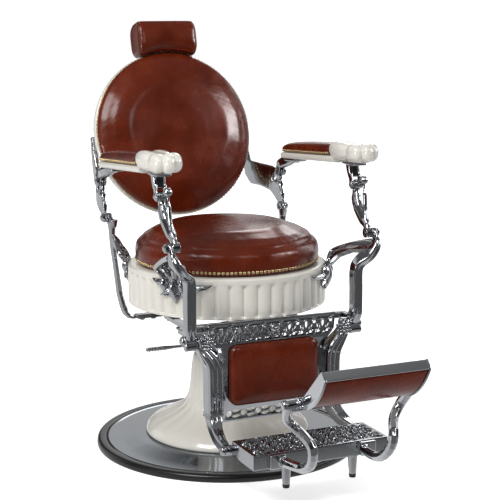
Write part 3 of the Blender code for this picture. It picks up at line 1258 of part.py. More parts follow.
def build_platform():
    """The foot platform: a deep frame with a ledge, lugs at the back, and a pierced tread."""
    half = PLATFORM_WIDTH / 2
    mid_y = (PLATFORM_REAR_Y + PLATFORM_FRONT_Y) / 2
    outer = rectangle(half, PLATFORM_DEPTH / 2)
    opening = rectangle(half - PLATFORM_RAIL, PLATFORM_DEPTH / 2 - PLATFORM_RAIL)
    frame = plate("frame", [outer, opening], PLATFORM_HEIGHT,
                  Matrix.Translation((0.0, mid_y, PLATFORM_TOP - PLATFORM_HEIGHT / 2)))
    ledge_top = PLATFORM_TOP - 0.001 - TREAD_THICKNESS - GAP
    ledge = plate("ledge", [rectangle(half - PLATFORM_RAIL + 0.002,
                                      PLATFORM_DEPTH / 2 - PLATFORM_RAIL + 0.002),
                            rectangle(half - PLATFORM_RAIL - 0.007,
                                      PLATFORM_DEPTH / 2 - PLATFORM_RAIL - 0.007)],
                  0.005, Matrix.Translation((0.0, mid_y, ledge_top - 0.0025)))
    hinge = platform_hinge()
    lug_outer = LEGREST_RAIL_X + 0.020 - 0.011 - GAP
    lugs = []
    for _, side in SIDES:
        x = side * (lug_outer - 0.007)
        lugs.append(box("lug", (x, PLATFORM_REAR_Y + 0.005, hinge.z), (0.014, 0.024, 0.018)))
        lugs.append(cylinder("eye", (x, hinge.y, hinge.z), 0.0115, 0.014, "X"))
    leg_y = PLATFORM_FRONT_Y + LEG_TOP_RADIUS
    leg_top = PLATFORM_TOP - PLATFORM_HEIGHT + 0.001
    for _, side in SIDES:
        lugs.append(cylinder("leg", (side * LEG_X, leg_y, leg_top - LEG_LENGTH / 2), LEG_TIP_RADIUS,
                             LEG_LENGTH, "Z",
                             None, 16, LEG_TOP_RADIUS))
        lugs.append(pin_with_dome(side, lug_outer - 0.010, LEGREST_RAIL_X + 0.020 + 0.011 + GAP, hinge.y,
                                  hinge.z))
    frame = union(frame, [ledge] + lugs)

    tread_half_x = half - PLATFORM_RAIL - GAP
    tread_half_y = PLATFORM_DEPTH / 2 - PLATFORM_RAIL - GAP
    holes = []
    pitch = 2 * tread_half_x / TREAD_PITCHES
    for i in range(-2, 3):
        x = i * pitch
        holes.append(circle(x, 0.0, 0.0968 * pitch, 6))
        for quarter in range(4):
            turn = math.pi / 4 + quarter * math.pi / 2
            holes.append(leaf_hole(x + 0.161 * pitch * math.cos(turn), 0.161 * pitch * math.sin(turn),
                                   turn, 0.484 * pitch, 0.21 * pitch))
        if i < 2:
            holes.append(circle(x + pitch / 2, 0.0, 0.121 * pitch, 8))
    tread = plate("tread", [rectangle(tread_half_x, tread_half_y)] + holes, TREAD_THICKNESS,
                  Matrix.Translation((0.0, mid_y, ledge_top + GAP + TREAD_THICKNESS / 2)))
    return [named(frame, "foot_platform", "chrome"), named(tread, "platform_tread", "chrome")]


def rectangle(half_x, half_y):
    return [(-half_x, -half_y), (half_x, -half_y), (half_x, half_y), (-half_x, half_y)]


def build_leg_tips():
    """The rubber tips under the platform's two legs."""
    low = PLATFORM_TOP - PLATFORM_HEIGHT + 0.001 - LEG_LENGTH
    tip = cylinder("tip", (LEG_X, PLATFORM_FRONT_Y + LEG_TOP_RADIUS, low - GAP - LEG_TIP_LENGTH / 2),
                   LEG_TIP_RADIUS - 0.001, LEG_TIP_LENGTH, "Z", None, 16, LEG_TIP_RADIUS)
    return list(both_sides(tip, "leg_tip", "rubber").values())


def build_foot_arm():
    """The bent tube that carries the footboard, on its block at the platform's front rail."""
    front = PLATFORM_FRONT_Y
    z = PLATFORM_TOP
    pivot = FOOTBOARD_PIVOT
    size = 2 * ARM_TUBE_RADIUS
    block_thickness = 0.012
    path = [(0.112, front - block_thickness + 0.002, z - 0.020), (0.108, front - 0.038, z - 0.019),
            (0.102, front - 0.094, z - 0.012), (0.102, front - 0.134, z + 0.008),
            (0.106, front - 0.155, z + 0.038),
            (0.1105, front - 0.154, z + 0.064), (0.124, front - 0.129, z + 0.088),
            (0.140, front - 0.115, z + 0.105),
            (0.1535, front - 0.113, z + 0.124), (FOOT_EYE_X, pivot.y + 0.016, pivot.z - 0.018),
            (FOOT_EYE_X, pivot.y + 0.002, pivot.z)]
    tube = sweep("tube", [(x, y, h, size, size) for x, y, h in path], round_section(8), None, 22)
    block = box("block", (0.125, front - GAP - block_thickness / 2, z - PLATFORM_HEIGHT / 2),
                (0.042, block_thickness, PLATFORM_HEIGHT - 0.003), None, 0.0015)
    eye = cylinder("eye", (FOOT_EYE_X, pivot.y, pivot.z), 0.0135, FOOT_EYE_WIDTH, "X")
    outer = FOOT_EYE_X + FOOT_EYE_WIDTH / 2
    pin = pin_with_dome(1.0, FOOTBOARD_HALF - FOOTBOARD_LUG - 0.002, outer, pivot.y, pivot.z)
    collar_low = FOOTBOARD_HALF + GAP
    collar_high = FOOT_EYE_X - FOOT_EYE_WIDTH / 2
    collar = cylinder("collar", ((collar_low + collar_high) / 2 + 0.0005, pivot.y, pivot.z), 0.0115,
                      collar_high - collar_low + 0.001, "X")
    return both_sides(union(block, [tube, eye, pin, collar]), "foot_arm", "chrome")


# ---------------------------------------------------------------- footboard
def footboard_frame():
    """Local X across the chair, Y up the board from its hinge, Z out of the leather face."""
    up = Vector((0.0, -math.cos(FOOTBOARD_SLOPE), math.sin(FOOTBOARD_SLOPE)))
    across = Vector((1.0, 0.0, 0.0))
    out = across.cross(up)
    return Matrix((
        (across.x, up.x, out.x, FOOTBOARD_PIVOT.x), (across.y, up.y, out.y, FOOTBOARD_PIVOT.y),
        (across.z, up.z, out.z, FOOTBOARD_PIVOT.z), (0.0, 0.0, 0.0, 1.0)))


def build_footboard():
    """A chrome tray with a leather pad in its face, hinged on a ribbed pin at each end."""
    place = footboard_frame()
    low = FOOTBOARD_HEEL
    high = low + FOOTBOARD_SPAN
    back = 0.005
    t = FOOTBOARD_PLATE
    tray = box("tray", (0.0, (low + high) / 2, back + FOOTBOARD_DEPTH / 2),
               (2 * FOOTBOARD_HALF, FOOTBOARD_SPAN, FOOTBOARD_DEPTH), None, 0.0015, 1)
    hollow = box("hollow", (0.0, (low + high) / 2, back + t + FOOTBOARD_DEPTH / 2),
                 (2 * (FOOTBOARD_HALF - t), FOOTBOARD_SPAN - 2 * t, FOOTBOARD_DEPTH))
    tray = cut(tray, [hollow])
    lug_width = FOOTBOARD_LUG
    lugs, drills = [], []
    for _, side in SIDES:
        x = side * (FOOTBOARD_HALF - lug_width / 2)
        lugs.append(box("lug", (x, low / 2 + 0.002, 0.010), (lug_width, low + 0.004, 0.018)))
        lugs.append(cylinder("eye", (x, 0.0, 0.004), 0.0125, lug_width, "X"))
        drills.append(cylinder("drill", (x, 0.0, 0.0), PIVOT_PIN_RADIUS + RUNNING_GAP, 0.06, "X",
                               segments=12))
    tray = cut(union(tray, lugs), drills)
    tray.data.transform(place)

    section = rounded_section(0.06, 2)
    rings = []
    pad_x = 2 * (FOOTBOARD_HALF - t - GAP)
    pad_y = FOOTBOARD_SPAN - 2 * t - 2 * GAP
    floor = back + t + GAP
    for out, shrink in ((0.0, 0.0), (0.018, 0.0), (0.0235, 0.006), (0.0275, 0.018), (0.030, 0.040)):
        rings.append([place @ Vector((u * (pad_x - shrink), (low + high) / 2 + v * (pad_y - 2 * shrink),
                                      floor + out))
                      for u, v in section])
    pad = loft("footboard_pad", rings, "leather")

    return [named(tray, "footboard_tray", "chrome"), smooth(pad, math.radians(50.0))]


# ---------------------------------------------------------------- assembly
def build_chair():
    base = build_pedestal()
    collar, swivel = build_pump_head()
    base += collar
    lever = [build_lever()]
    front_posts, rear_posts = build_front_post(), build_rear_post()
    seat = build_ram() + build_under_frame() + list(front_posts.values()) + list(rear_posts.values())
    seat += build_pins() + build_seat()
    brackets, headrest = build_back_bracket(), build_headrest()
    back = build_back() + list(brackets.values()) + headrest["back"] + build_arm_pins()
    links = build_link()
    bodies, pads = build_arm()
    front_clevises, rear_clevises = build_front_clevis(), build_rear_clevis()
    rails, foot_arms = build_legrest_rail(), build_foot_arm()
    footboard = build_footboard()
    legrest = list(rails.values()) + [build_web(), build_calf_pad()] + build_platform() + build_leg_tips()
    legrest += list(foot_arms.values())

    hang(swivel, pivot_empty("swivel_axis", (0.0, 0.0, HEAD_Z)))
    hang(lever, pivot_empty("lever_axis", lever_hinge()))
    hang(seat, pivot_empty("lift_axis", (0.0, 0.0, FRAME_Z)))
    hang(back, pivot_empty("recline_axis", (0.0, REAR_PIVOT_Y, PIVOT_Z)))
    hang(headrest["slide"], pivot_empty("headrest_slide_axis",
                                        back_frame() @ Vector((0.0, 0.145, HEAD_BAR_BACK))))
    hang(headrest["tilt"], pivot_empty("headrest_tilt_axis", head_hinge()))
    hang(legrest, pivot_empty("legrest_axis", (0.0, LEGREST_Y, LEGREST_Z)))
    hang(footboard, pivot_empty("footboard_axis", FOOTBOARD_PIVOT))
    for name, side in SIDES:
        hang([links[name]], pivot_empty("link_axis_" + name, (side * LINK_LOW_X, FRONT_PIVOT_Y, PIVOT_Z)))
        hang([bodies[name], pads[name], front_clevises[name], rear_clevises[name]],
             pivot_empty("arm_axis_" + name, (side * BRACKET_X, ARM_PIVOT.y, ARM_PIVOT.z)))


clear_scene()
PARTS = collection_named("barber_chair")
build_chair()
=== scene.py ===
"""Looks of the hydraulic barber chair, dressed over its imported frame.

Metres, +Z up, floor at Z = 0.  The sitter faces -Y, so the sitter's right hand is at -X.
"""

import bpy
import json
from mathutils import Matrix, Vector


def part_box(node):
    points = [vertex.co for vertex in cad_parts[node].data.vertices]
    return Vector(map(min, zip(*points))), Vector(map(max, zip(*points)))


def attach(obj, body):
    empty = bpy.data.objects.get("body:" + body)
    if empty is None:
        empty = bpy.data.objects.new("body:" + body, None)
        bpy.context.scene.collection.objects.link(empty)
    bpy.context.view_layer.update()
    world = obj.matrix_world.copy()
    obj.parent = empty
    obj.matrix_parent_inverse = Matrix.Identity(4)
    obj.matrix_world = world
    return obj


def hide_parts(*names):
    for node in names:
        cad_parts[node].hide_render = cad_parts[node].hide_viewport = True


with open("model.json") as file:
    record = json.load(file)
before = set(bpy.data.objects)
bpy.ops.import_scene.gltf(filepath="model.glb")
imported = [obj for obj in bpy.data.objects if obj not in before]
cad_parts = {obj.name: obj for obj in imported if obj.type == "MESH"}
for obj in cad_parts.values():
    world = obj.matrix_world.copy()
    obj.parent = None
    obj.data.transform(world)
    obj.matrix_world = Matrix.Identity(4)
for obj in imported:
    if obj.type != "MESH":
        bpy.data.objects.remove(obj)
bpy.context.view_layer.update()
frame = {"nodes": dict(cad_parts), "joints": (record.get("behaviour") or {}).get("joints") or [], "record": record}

import json
import logging
import math
from dataclasses import dataclass
from enum import Enum
from typing import Callable, Iterable, Sequence

import bmesh
import bpy
import numpy as np
from bpy.types import ID, Material, Node, NodeSocket, NodeTree, Object
from mathutils import Matrix, Vector, noise
from mathutils.bvhtree import BVHTree

LOG = logging.getLogger("barber_chair")
MM = 0.001
ACROSS = Vector((1.0, 0.0, 0.0))
ALONG = Vector((0.0, 1.0, 0.0))
UP = Vector((0.0, 0.0, 1.0))
WHITE = (1.0, 1.0, 1.0, 1.0)
Station = tuple[float, float, float, float, float]


class Slot(Enum):
    """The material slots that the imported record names."""

    CHROME = "chrome"
    ENAMEL = "enamel"
    LEATHER = "leather"
    RUBBER = "rubber"
    STEEL = "steel"
    WOOD = "wood"


class Side(Enum):
    """A side of the chair, as the sitter has it, by its name in nodes and bodies."""

    LEFT = "left"
    RIGHT = "right"


# ---- the frame
def joint_point(name: str) -> Vector:
    """Find a point on a joint's axis, in metres."""
    return Vector(next(joint["pos_m"] for joint in frame["joints"] if joint["name"] == name))


def body_with(node: str) -> str:
    """Find the name of the body that holds a CAD node."""
    bodies = frame["record"]["behaviour"]["bodies"]
    return next(body for body, nodes in bodies.items() if node in nodes)


def local_box(node: str, place: Matrix) -> tuple[Vector, Vector]:
    """Measure a CAD node in another frame.

    Args:
        node: The node's name.
        place: The frame to measure in.

    Returns:
        The lowest and the highest corner in that frame.
    """
    inverse = place.inverted()
    points = [inverse @ v.co for v in frame["nodes"][node].data.vertices]
    low = Vector([min(p[i] for p in points) for i in range(3)])
    high = Vector([max(p[i] for p in points) for i in range(3)])
    return low, high


# ---- materials
def srgb(code: str) -> tuple[float, float, float, float]:
    """Turn a hex colour into linear light.

    Args:
        code: An sRGB colour such as "#7A2E17".

    Returns:
        Linear red, green, blue and an alpha of 1.
    """
    channels = [int(code[i:i + 2], 16) / 255 for i in (1, 3, 5)]
    linear = [c / 12.92 if c <= 0.04045 else ((c + 0.055) / 1.055) ** 2.4 for c in channels]
    return (*linear, 1.0)


def add_node(tree: NodeTree, kind: str, settings: dict | None = None, links: dict | None = None) -> Node:
    """Add a node with its settings and links.

    Args:
        tree: The node tree.
        kind: The node's Blender type.
        settings: Property names or input names, with their values.
        links: Input names or numbers, with the output sockets that feed them.

    Returns:
        The new node.
    """
    node = tree.nodes.new(kind)
    for key, value in (settings or {}).items():
        if isinstance(key, str) and hasattr(node, key):
            setattr(node, key, value)
        else:
            node.inputs[key].default_value = value
    for key, socket in (links or {}).items():
        tree.links.new(socket, node.inputs[key])
    return node


def blank_material(name: str, values: dict) -> tuple[Material, NodeTree, Node, NodeSocket]:
    """Start a material.

    Args:
        name: The material's name.
        values: The shader's values that are the same all over.

    Returns:
        The material, its node tree, its Principled shader and the socket that gives a point's place.
    """
    material = bpy.data.materials.new(name)
    material.use_nodes = True
    tree = material.node_tree
    shader = tree.nodes["Principled BSDF"]
    for key, value in values.items():
        shader.inputs[key].default_value = value
    return material, tree, shader, add_node(tree, "ShaderNodeTexCoord").outputs["Object"]


def mottle(tree: NodeTree, shader: Node, place: NodeSocket, size_mm: float, detail: float, first: Sequence[float],
           second: Sequence[float]) -> NodeSocket:
    """Let a surface's colour drift between two tones, in soft clouds.

    Args:
        tree: The material's node tree.
        shader: Its shader.
        place: The socket that gives a point's place.
        size_mm: The clouds' size.
        detail: How many finer clouds lie in them.
        first: The one tone.
        second: The other tone.

    Returns:
        The socket that gives the clouds' strength.
    """
    clouds = add_node(tree, "ShaderNodeTexNoise", {"Scale": 1 / (size_mm * MM), "Detail": detail}, {"Vector": place})
    mix = add_node(tree, "ShaderNodeMix", {"data_type": "RGBA"}, {"Factor": clouds.outputs["Fac"]})
    mix.inputs[6].default_value, mix.inputs[7].default_value = first, second
    tree.links.new(mix.outputs[2], shader.inputs["Base Color"])
    return clouds.outputs["Fac"]


def relief(tree: NodeTree, shader: Node, place: NodeSocket, size_mm: float, detail: float, strength: float,
           depth_mm: float) -> None:
    """Lay a soft relief over a surface, on top of any that it has.

    Args:
        tree: The material's node tree.
        shader: Its shader.
        place: The socket that gives a point's place.
        size_mm: The relief's size.
        detail: How much finer relief lies in it.
        strength: Its strength.
        depth_mm: Its depth.
    """
    grain = add_node(tree, "ShaderNodeTexNoise", {"Scale": 1 / (size_mm * MM), "Detail": detail}, {"Vector": place})
    links = {"Height": grain.outputs["Fac"]}
    if shader.inputs["Normal"].is_linked:
        links["Normal"] = shader.inputs["Normal"].links[0].from_socket
    bump = add_node(tree, "ShaderNodeBump", {"Strength": strength, "Distance": depth_mm * MM}, links)
    tree.links.new(bump.outputs["Normal"], shader.inputs["Normal"])


@dataclass(frozen=True)
class PullUpLeather:
    """Chestnut pull-up hide, drum-dyed and waxed: deep colour that lightens where it is stretched."""

    name: str = "pull_up_leather"
    deep: str = "#511906"
    body: str = "#611F09"
    stretched: str = "#6F270D"
    cloud_mm: float = 90.0
    grain_mm: float = 2.4     # finer in a real hide; drawn this coarse so that it shows
    crease_mm: float = 22.0
    roughness: float = 0.24

    def build(self) -> Material:
        """Build the material.

        Returns:
            The finished material.
        """
        material, tree, shader, place = blank_material(self.name, {
            "Coat Weight": 0.24, "Coat Roughness": 0.17, "Specular IOR Level": 0.22})
        # slow clouds of wax and dye over the whole hide
        cloud = add_node(tree, "ShaderNodeTexNoise", {"Scale": 1 / (self.cloud_mm * MM), "Detail": 4.0,
                                                      "Roughness": 0.55}, {"Vector": place})
        ramp = add_node(tree, "ShaderNodeValToRGB", links={"Fac": cloud.outputs["Fac"]})
        ramp.color_ramp.elements.new(0.52)
        for stop, share, colour in zip(ramp.color_ramp.elements, (0.30, 0.52, 0.74),
                                       (self.deep, self.body, self.stretched)):
            stop.position, stop.color = share, srgb(colour)
        tree.links.new(ramp.outputs["Color"], shader.inputs["Base Color"])
        # a pressed grain under the wax, and broad handling creases across it
        relief(tree, shader, place, self.grain_mm, detail=3.0, strength=0.12, depth_mm=0.25)
        relief(tree, shader, place, self.crease_mm, detail=3.0, strength=0.30, depth_mm=1.6)
        worn = add_node(tree, "ShaderNodeMapRange", {"From Min": 0.3, "From Max": 0.7, "To Min": self.roughness - 0.04,
                                                     "To Max": self.roughness + 0.08}, {"Value": cloud.outputs["Fac"]})
        tree.links.new(worn.outputs["Result"], shader.inputs["Roughness"])
        return material


@dataclass(frozen=True)
class VitreousEnamel:
    """Cream vitreous enamel fired on iron: a thick glassy coat with a faint orange peel."""

    name: str = "cream_enamel"
    colour: str = "#EFECE4"
    shade: str = "#E7E3D8"
    peel_mm: float = 7.0
    drift_mm: float = 120.0

    def build(self) -> Material:
        """Build the material.

        Returns:
            The finished material.
        """
        material, tree, shader, place = blank_material(self.name, {
            "Roughness": 0.22, "Coat Weight": 0.6, "Coat Roughness": 0.06})
        mottle(tree, shader, place, self.drift_mm, 2.0, srgb(self.colour), srgb(self.shade))
        relief(tree, shader, place, self.peel_mm, detail=1.0, strength=0.10, depth_mm=0.25)
        return material


@dataclass(frozen=True)
class DarkChrome:
    """Nickel-chrome plate over a polished casting: a deep mirror with a slow hand-polished wave."""

    name: str = "plated_casting"
    colour: str = "#B0B2B6"
    wave_mm: float = 26.0
    wave_strength: float = 0.14
    smear_mm: float = 60.0
    smoothest: float = 0.05
    dullest: float = 0.13

    def build(self) -> Material:
        """Build the material.

        Returns:
            The finished material.
        """
        material, tree, shader, place = blank_material(self.name, {"Metallic": 1.0})
        colour = srgb(self.colour)
        smear = mottle(tree, shader, place, self.smear_mm, 4.0, colour, (*(0.86 * c for c in colour[:3]), 1.0))
        rough = add_node(tree, "ShaderNodeMapRange", {"From Min": 0.35, "From Max": 0.7, "To Min": self.smoothest,
                                                      "To Max": self.dullest}, {"Value": smear})
        tree.links.new(rough.outputs["Result"], shader.inputs["Roughness"])
        relief(tree, shader, place, self.wave_mm, detail=2.0, strength=self.wave_strength, depth_mm=1.2)
        return material


@dataclass(frozen=True)
class MouldedRubber:
    """Black moulded rubber: dull, with a faint bloom and a fine moulded grain."""

    name: str = "moulded_rubber"
    colour: str = "#0F0F11"
    bloom: str = "#1A1A1D"
    patch_mm: float = 71.43
    grain_mm: float = 2.2

    def build(self) -> Material:
        """Build the material.

        Returns:
            The finished material.
        """
        material, tree, shader, place = blank_material(self.name, {"Roughness": 0.30})
        mottle(tree, shader, place, self.patch_mm, 3.0, srgb(self.colour), srgb(self.bloom))
        relief(tree, shader, place, self.grain_mm, detail=3.0, strength=0.25, depth_mm=0.15)
        return material


@dataclass(frozen=True)
class AgedBrass:
    """Antiqued brass nail heads: lacquered, with a fine random speckle between a bright and a dark tone."""

    name: str = "antique_brass"
    bright: str = "#DEC79C"
    dark: str = "#957A4E"
    speckle_mm: float = 3.0

    def build(self) -> Material:
        """Build the material.

        Returns:
            The finished material.
        """
        material, tree, shader, place = blank_material(self.name, {"Metallic": 1.0, "Roughness": 0.28})
        mottle(tree, shader, place, self.speckle_mm, 3.0, srgb(self.bright), srgb(self.dark))
        return material


@dataclass(frozen=True)
class TurnedSteel:
    """Plain turned and oiled steel of the pump and pins, with fine tool marks."""

    name: str = "turned_steel"
    colour: str = "#6E7074"
    mark_mm: float = 1.2

    def build(self) -> Material:
        """Build the material.

        Returns:
            The finished material.
        """
        material, tree, shader, place = blank_material(self.name, {
            "Base Color": srgb(self.colour), "Metallic": 1.0, "Roughness": 0.30})
        marks = add_node(tree, "ShaderNodeTexWave", {"bands_direction": "Z", "Scale": 1 / (self.mark_mm * MM * 6),
                                                     "Distortion": 0.4}, {"Vector": place})
        bump = add_node(tree, "ShaderNodeBump", {"Strength": 0.12, "Distance": 0.1 * MM},
                        {"Height": marks.outputs["Fac"]})
        tree.links.new(bump.outputs["Normal"], shader.inputs["Normal"])
        return material


@dataclass(frozen=True)
class BeechPly:
    """Raw beech plywood of the seat board, seen only from below."""

    name: str = "beech_ply"
    light: str = "#B48E61"
    dark: str = "#8D6A43"
    grain_mm: float = 6.0

    def build(self) -> Material:
        """Build the material.

        Returns:
            The finished material.
        """
        material, tree, shader, place = blank_material(self.name, {"Roughness": 0.65})
        along = add_node(tree, "ShaderNodeMapping", {"Scale": (1.0, 0.12, 1.0)}, {"Vector": place})
        mottle(tree, shader, along.outputs["Vector"], self.grain_mm, 6.0, srgb(self.light), srgb(self.dark))
        return material


class Finishes:
    """Every finish on the chair, built once."""

    def __init__(self) -> None:
        """Build the materials."""
        self.leather = PullUpLeather().build()
        self.enamel = VitreousEnamel().build()
        self.chrome = DarkChrome().build()
        self.bright_chrome = DarkChrome(name="plated_tube", colour="#D2D4D8", wave_strength=0.06).build()
        self.dish_chrome = DarkChrome(name="plated_pressing", colour="#888C91", wave_strength=0.02).build()
        self.scroll_chrome = DarkChrome(name="plated_scrollwork", colour="#84868A", wave_strength=0.10, smoothest=0.10,
                                        dullest=0.20).build()
        self.rubber = MouldedRubber().build()
        self.brass = AgedBrass().build()
        self.steel = TurnedSteel().build()
        self.wood = BeechPly().build()
        self.slots = {
            Slot.CHROME: self.chrome, Slot.ENAMEL: self.enamel, Slot.LEATHER: self.leather,
            Slot.RUBBER: self.rubber, Slot.STEEL: self.steel, Slot.WOOD: self.wood}


# ---- mesh work
def object_of(name: str, data: ID) -> Object:
    """Put a mesh, curve, lamp or camera into the scene.

    Args:
        name: The object's name.
        data: Its mesh, curve, lamp or camera.

    Returns:
        The new object.
    """
    obj = bpy.data.objects.new(name, data)
    bpy.context.scene.collection.objects.link(obj)
    return obj


def from_bmesh(name: str, bm: bmesh.types.BMesh, outward: bool = True) -> Object:
    """Turn a bmesh into an object.

    Args:
        name: The piece's name.
        bm: The geometry, which is freed.
        outward: Whether its faces are turned outward first.

    Returns:
        The new object.
    """
    if outward:
        bmesh.ops.recalc_face_normals(bm, faces=bm.faces)
    mesh = bpy.data.meshes.new(name)
    bm.to_mesh(mesh)
    bm.free()
    return object_of(name, mesh)


def applied(obj: Object) -> Object:
    """Bake an object's modifiers and place into its mesh.

    Args:
        obj: The object.

    Returns:
        The same object.
    """
    bpy.context.view_layer.update()
    evaluated = obj.evaluated_get(bpy.context.evaluated_depsgraph_get())
    mesh = bpy.data.meshes.new_from_object(evaluated)
    mesh.transform(obj.matrix_world)
    obj.modifiers.clear()
    if obj.type == "MESH":
        obj.data = mesh
        obj.matrix_world = Matrix.Identity(4)
        return obj
    name = obj.name
    bpy.data.objects.remove(obj, do_unlink=True)
    return object_of(name, mesh)


def softened(obj: Object, angle: float) -> Object:
    """Shade an object smooth, with edges sharper than an angle kept.

    Args:
        obj: The object.
        angle: The angle in degrees.

    Returns:
        The same object.
    """
    for polygon in obj.data.polygons:
        polygon.use_smooth = True
    bm = bmesh.new()
    bm.from_mesh(obj.data)
    limit = math.radians(angle)
    for edge in bm.edges:
        edge.smooth = not (len(edge.link_faces) == 2 and edge.calc_face_angle(0.0) > limit)
    bm.to_mesh(obj.data)
    bm.free()
    return obj


def lathe(name: str, profile: Sequence[tuple[float, float]], steps: int, hollow: bool = False,
          waviness: Callable[[float, float, float], float] | None = None) -> Object:
    """Turn a profile about Z.

    Args:
        name: The piece's name.
        profile: Radius and height pairs.
        steps: The number of steps round.
        hollow: Whether the profile closes on itself, as for a ring.
        waviness: Gives the real radius from radius, height and angle.

    Returns:
        The turned object.
    """
    rings = []
    for r, z in profile:
        ring = []
        for i in range(steps):
            angle = math.tau * i / steps
            real = waviness(r, z, angle) if waviness else r
            ring.append(Vector((real * math.cos(angle), real * math.sin(angle), z)))
        rings.append(ring)
    obj = skin(name, rings, round_trip=hollow)
    weld(obj)
    return obj


def weld(obj: Object) -> None:
    """Merge the vertices of an object that lie together.

    Args:
        obj: The object.
    """
    bm = bmesh.new()
    bm.from_mesh(obj.data)
    bmesh.ops.remove_doubles(bm, verts=bm.verts, dist=0.01 * MM)
    bmesh.ops.recalc_face_normals(bm, faces=bm.faces)
    bm.to_mesh(obj.data)
    bm.free()


def skin(name: str, rings: Sequence[Sequence[Vector]], round_trip: bool = False) -> Object:
    """Join rings of points into a surface.

    Args:
        name: The piece's name.
        rings: Closed rings with the same number of points.
        round_trip: Whether the last ring joins the first; the two are filled otherwise.

    Returns:
        The new object.
    """
    bm = bmesh.new()
    loops = [[bm.verts.new(p) for p in ring] for ring in rings]
    count = len(loops[0])
    last = len(loops) if round_trip else len(loops) - 1
    for k in range(last):
        lower, upper = loops[k], loops[(k + 1) % len(loops)]
        for i in range(count):
            j = (i + 1) % count
            bm.faces.new((lower[i], lower[j], upper[j], upper[i]))
    if not round_trip:
        bm.faces.new(loops[0][::-1])
        bm.faces.new(loops[-1])
    return from_bmesh(name, bm)


def catmull(stations: Sequence[Sequence[float]], samples: int) -> list[list[float]]:
    """Run a smooth curve through stations.

    Args:
        stations: Points with any number of values each.
        samples: The number of points wanted.

    Returns:
        The points of the curve, ends included.
    """
    points = [list(stations[0])] + [list(s) for s in stations] + [list(stations[-1])]
    spans = len(stations) - 1
    result = []
    for k in range(samples):
        t = spans * k / (samples - 1)
        i = min(int(t), spans - 1)
        u = t - i
        p0, p1, p2, p3 = points[i:i + 4]
        result.append([0.5 * (2 * b + (c - a) * u + (2 * a - 5 * b + 4 * c - d) * u * u
                              + (3 * b - a - 3 * c + d) * u ** 3) for a, b, c, d in zip(p0, p1, p2, p3)])
    return result


def superellipse(power: float, steps: int) -> list[tuple[float, float]]:
    """Draw a section between an ellipse and a box.

    Args:
        power: 2 gives an ellipse, and more gives squarer corners.
        steps: The number of points.

    Returns:
        Points inside a box of one by one.
    """
    points = []
    for i in range(steps):
        angle = math.tau * (i + 0.5) / steps
        c, s = math.cos(angle), math.sin(angle)
        points.append((0.5 * math.copysign(abs(c) ** (2 / power), c), 0.5 * math.copysign(abs(s) ** (2 / power), s)))
    return points


def swept(name: str, stations: Sequence[Station], section: Sequence[tuple[float, float]], samples: int,
          across: Vector = ACROSS) -> Object:
    """Sweep a section along a curve, with its width and depth changing.

    Args:
        name: The piece's name.
        stations: x, y, z, width and depth at each station.
        section: The section's points inside a box of one by one.
        samples: The number of sections along the curve.
        across: The direction that the section's width keeps to.

    Returns:
        The swept object.
    """
    path = catmull(stations, samples)
    rings = []
    for k, (x, y, z, width, depth) in enumerate(path):
        before, after = path[max(k - 1, 0)], path[min(k + 1, samples - 1)]
        tangent = (Vector(after[:3]) - Vector(before[:3])).normalized()
        side = (across - tangent * across.dot(tangent)).normalized()
        out = tangent.cross(side)
        rings.append([Vector((x, y, z)) + side * (u * width) + out * (v * depth) for u, v in section])
    return skin(name, rings)


def tube(name: str, path: Sequence[Vector], radius: float, ring: int = 8, closed: bool = False) -> Object:
    """Run a round tube along a path.

    Args:
        name: The piece's name.
        path: The path's points.
        radius: The tube's radius.
        ring: The number of points round the tube.
        closed: Whether the path closes on itself.

    Returns:
        The tube.
    """
    count = len(path)
    rings, side = [], None
    for k, point in enumerate(path):
        before = path[k - 1] if closed or k else path[0]
        after = path[(k + 1) % count] if closed or k < count - 1 else path[-1]
        tangent = (after - before).normalized()
        if side is None:
            side = tangent.orthogonal().normalized()
        side = (side - tangent * side.dot(tangent)).normalized()
        out = tangent.cross(side)
        rings.append([point + side * (radius * math.cos(math.tau * i / ring)) + out
                      * (radius * math.sin(math.tau * i / ring)) for i in range(ring)])
    return skin(name, rings, round_trip=closed)


def pierced(name: str, outlines: Sequence[Sequence[tuple[float, float]]], thickness: float, place: Matrix,
            round_edge: float) -> Object:
    """Cut a plate with openings and rounded edges.

    Args:
        name: The piece's name.
        outlines: The outside and the openings, as points in the plate's plane.
        thickness: The plate's thickness.
        place: Where the plate's frame is.
        round_edge: The radius of the rounded edges.

    Returns:
        The plate.
    """
    curve = bpy.data.curves.new(name, "CURVE")
    curve.dimensions = "2D"
    curve.fill_mode = "BOTH"
    curve.extrude = thickness / 2
    for outline in outlines:
        spline = curve.splines.new("POLY")
        spline.points.add(len(outline) - 1)
        for point, (u, v) in zip(spline.points, outline):
            point.co = (u, v, 0.0, 1.0)
        spline.use_cyclic_u = True
    obj = object_of(name, curve)
    obj.matrix_world = place
    obj = applied(obj)
    weld(obj)
    eased = obj.modifiers.new("eased", "BEVEL")
    eased.width, eased.segments = round_edge, 2
    eased.limit_method, eased.angle_limit = "ANGLE", math.radians(65.0)
    return applied(obj)


def ball(name: str, centre: Vector, size: Sequence[float], turn: Matrix | None, steps: int) -> Object:
    """Model an ellipsoid.

    Args:
        name: The piece's name.
        centre: Its middle.
        size: Its three half sizes.
        turn: How it is turned.
        steps: The number of points round it.

    Returns:
        The ellipsoid.
    """
    bm = bmesh.new()
    bmesh.ops.create_uvsphere(bm, u_segments=steps, v_segments=steps // 2, radius=1.0)
    place = Matrix.Translation(centre) @ (turn or Matrix.Identity(4)) @ Matrix.Diagonal((*size, 1.0))
    bmesh.ops.transform(bm, matrix=place, verts=bm.verts)
    return from_bmesh(name, bm)


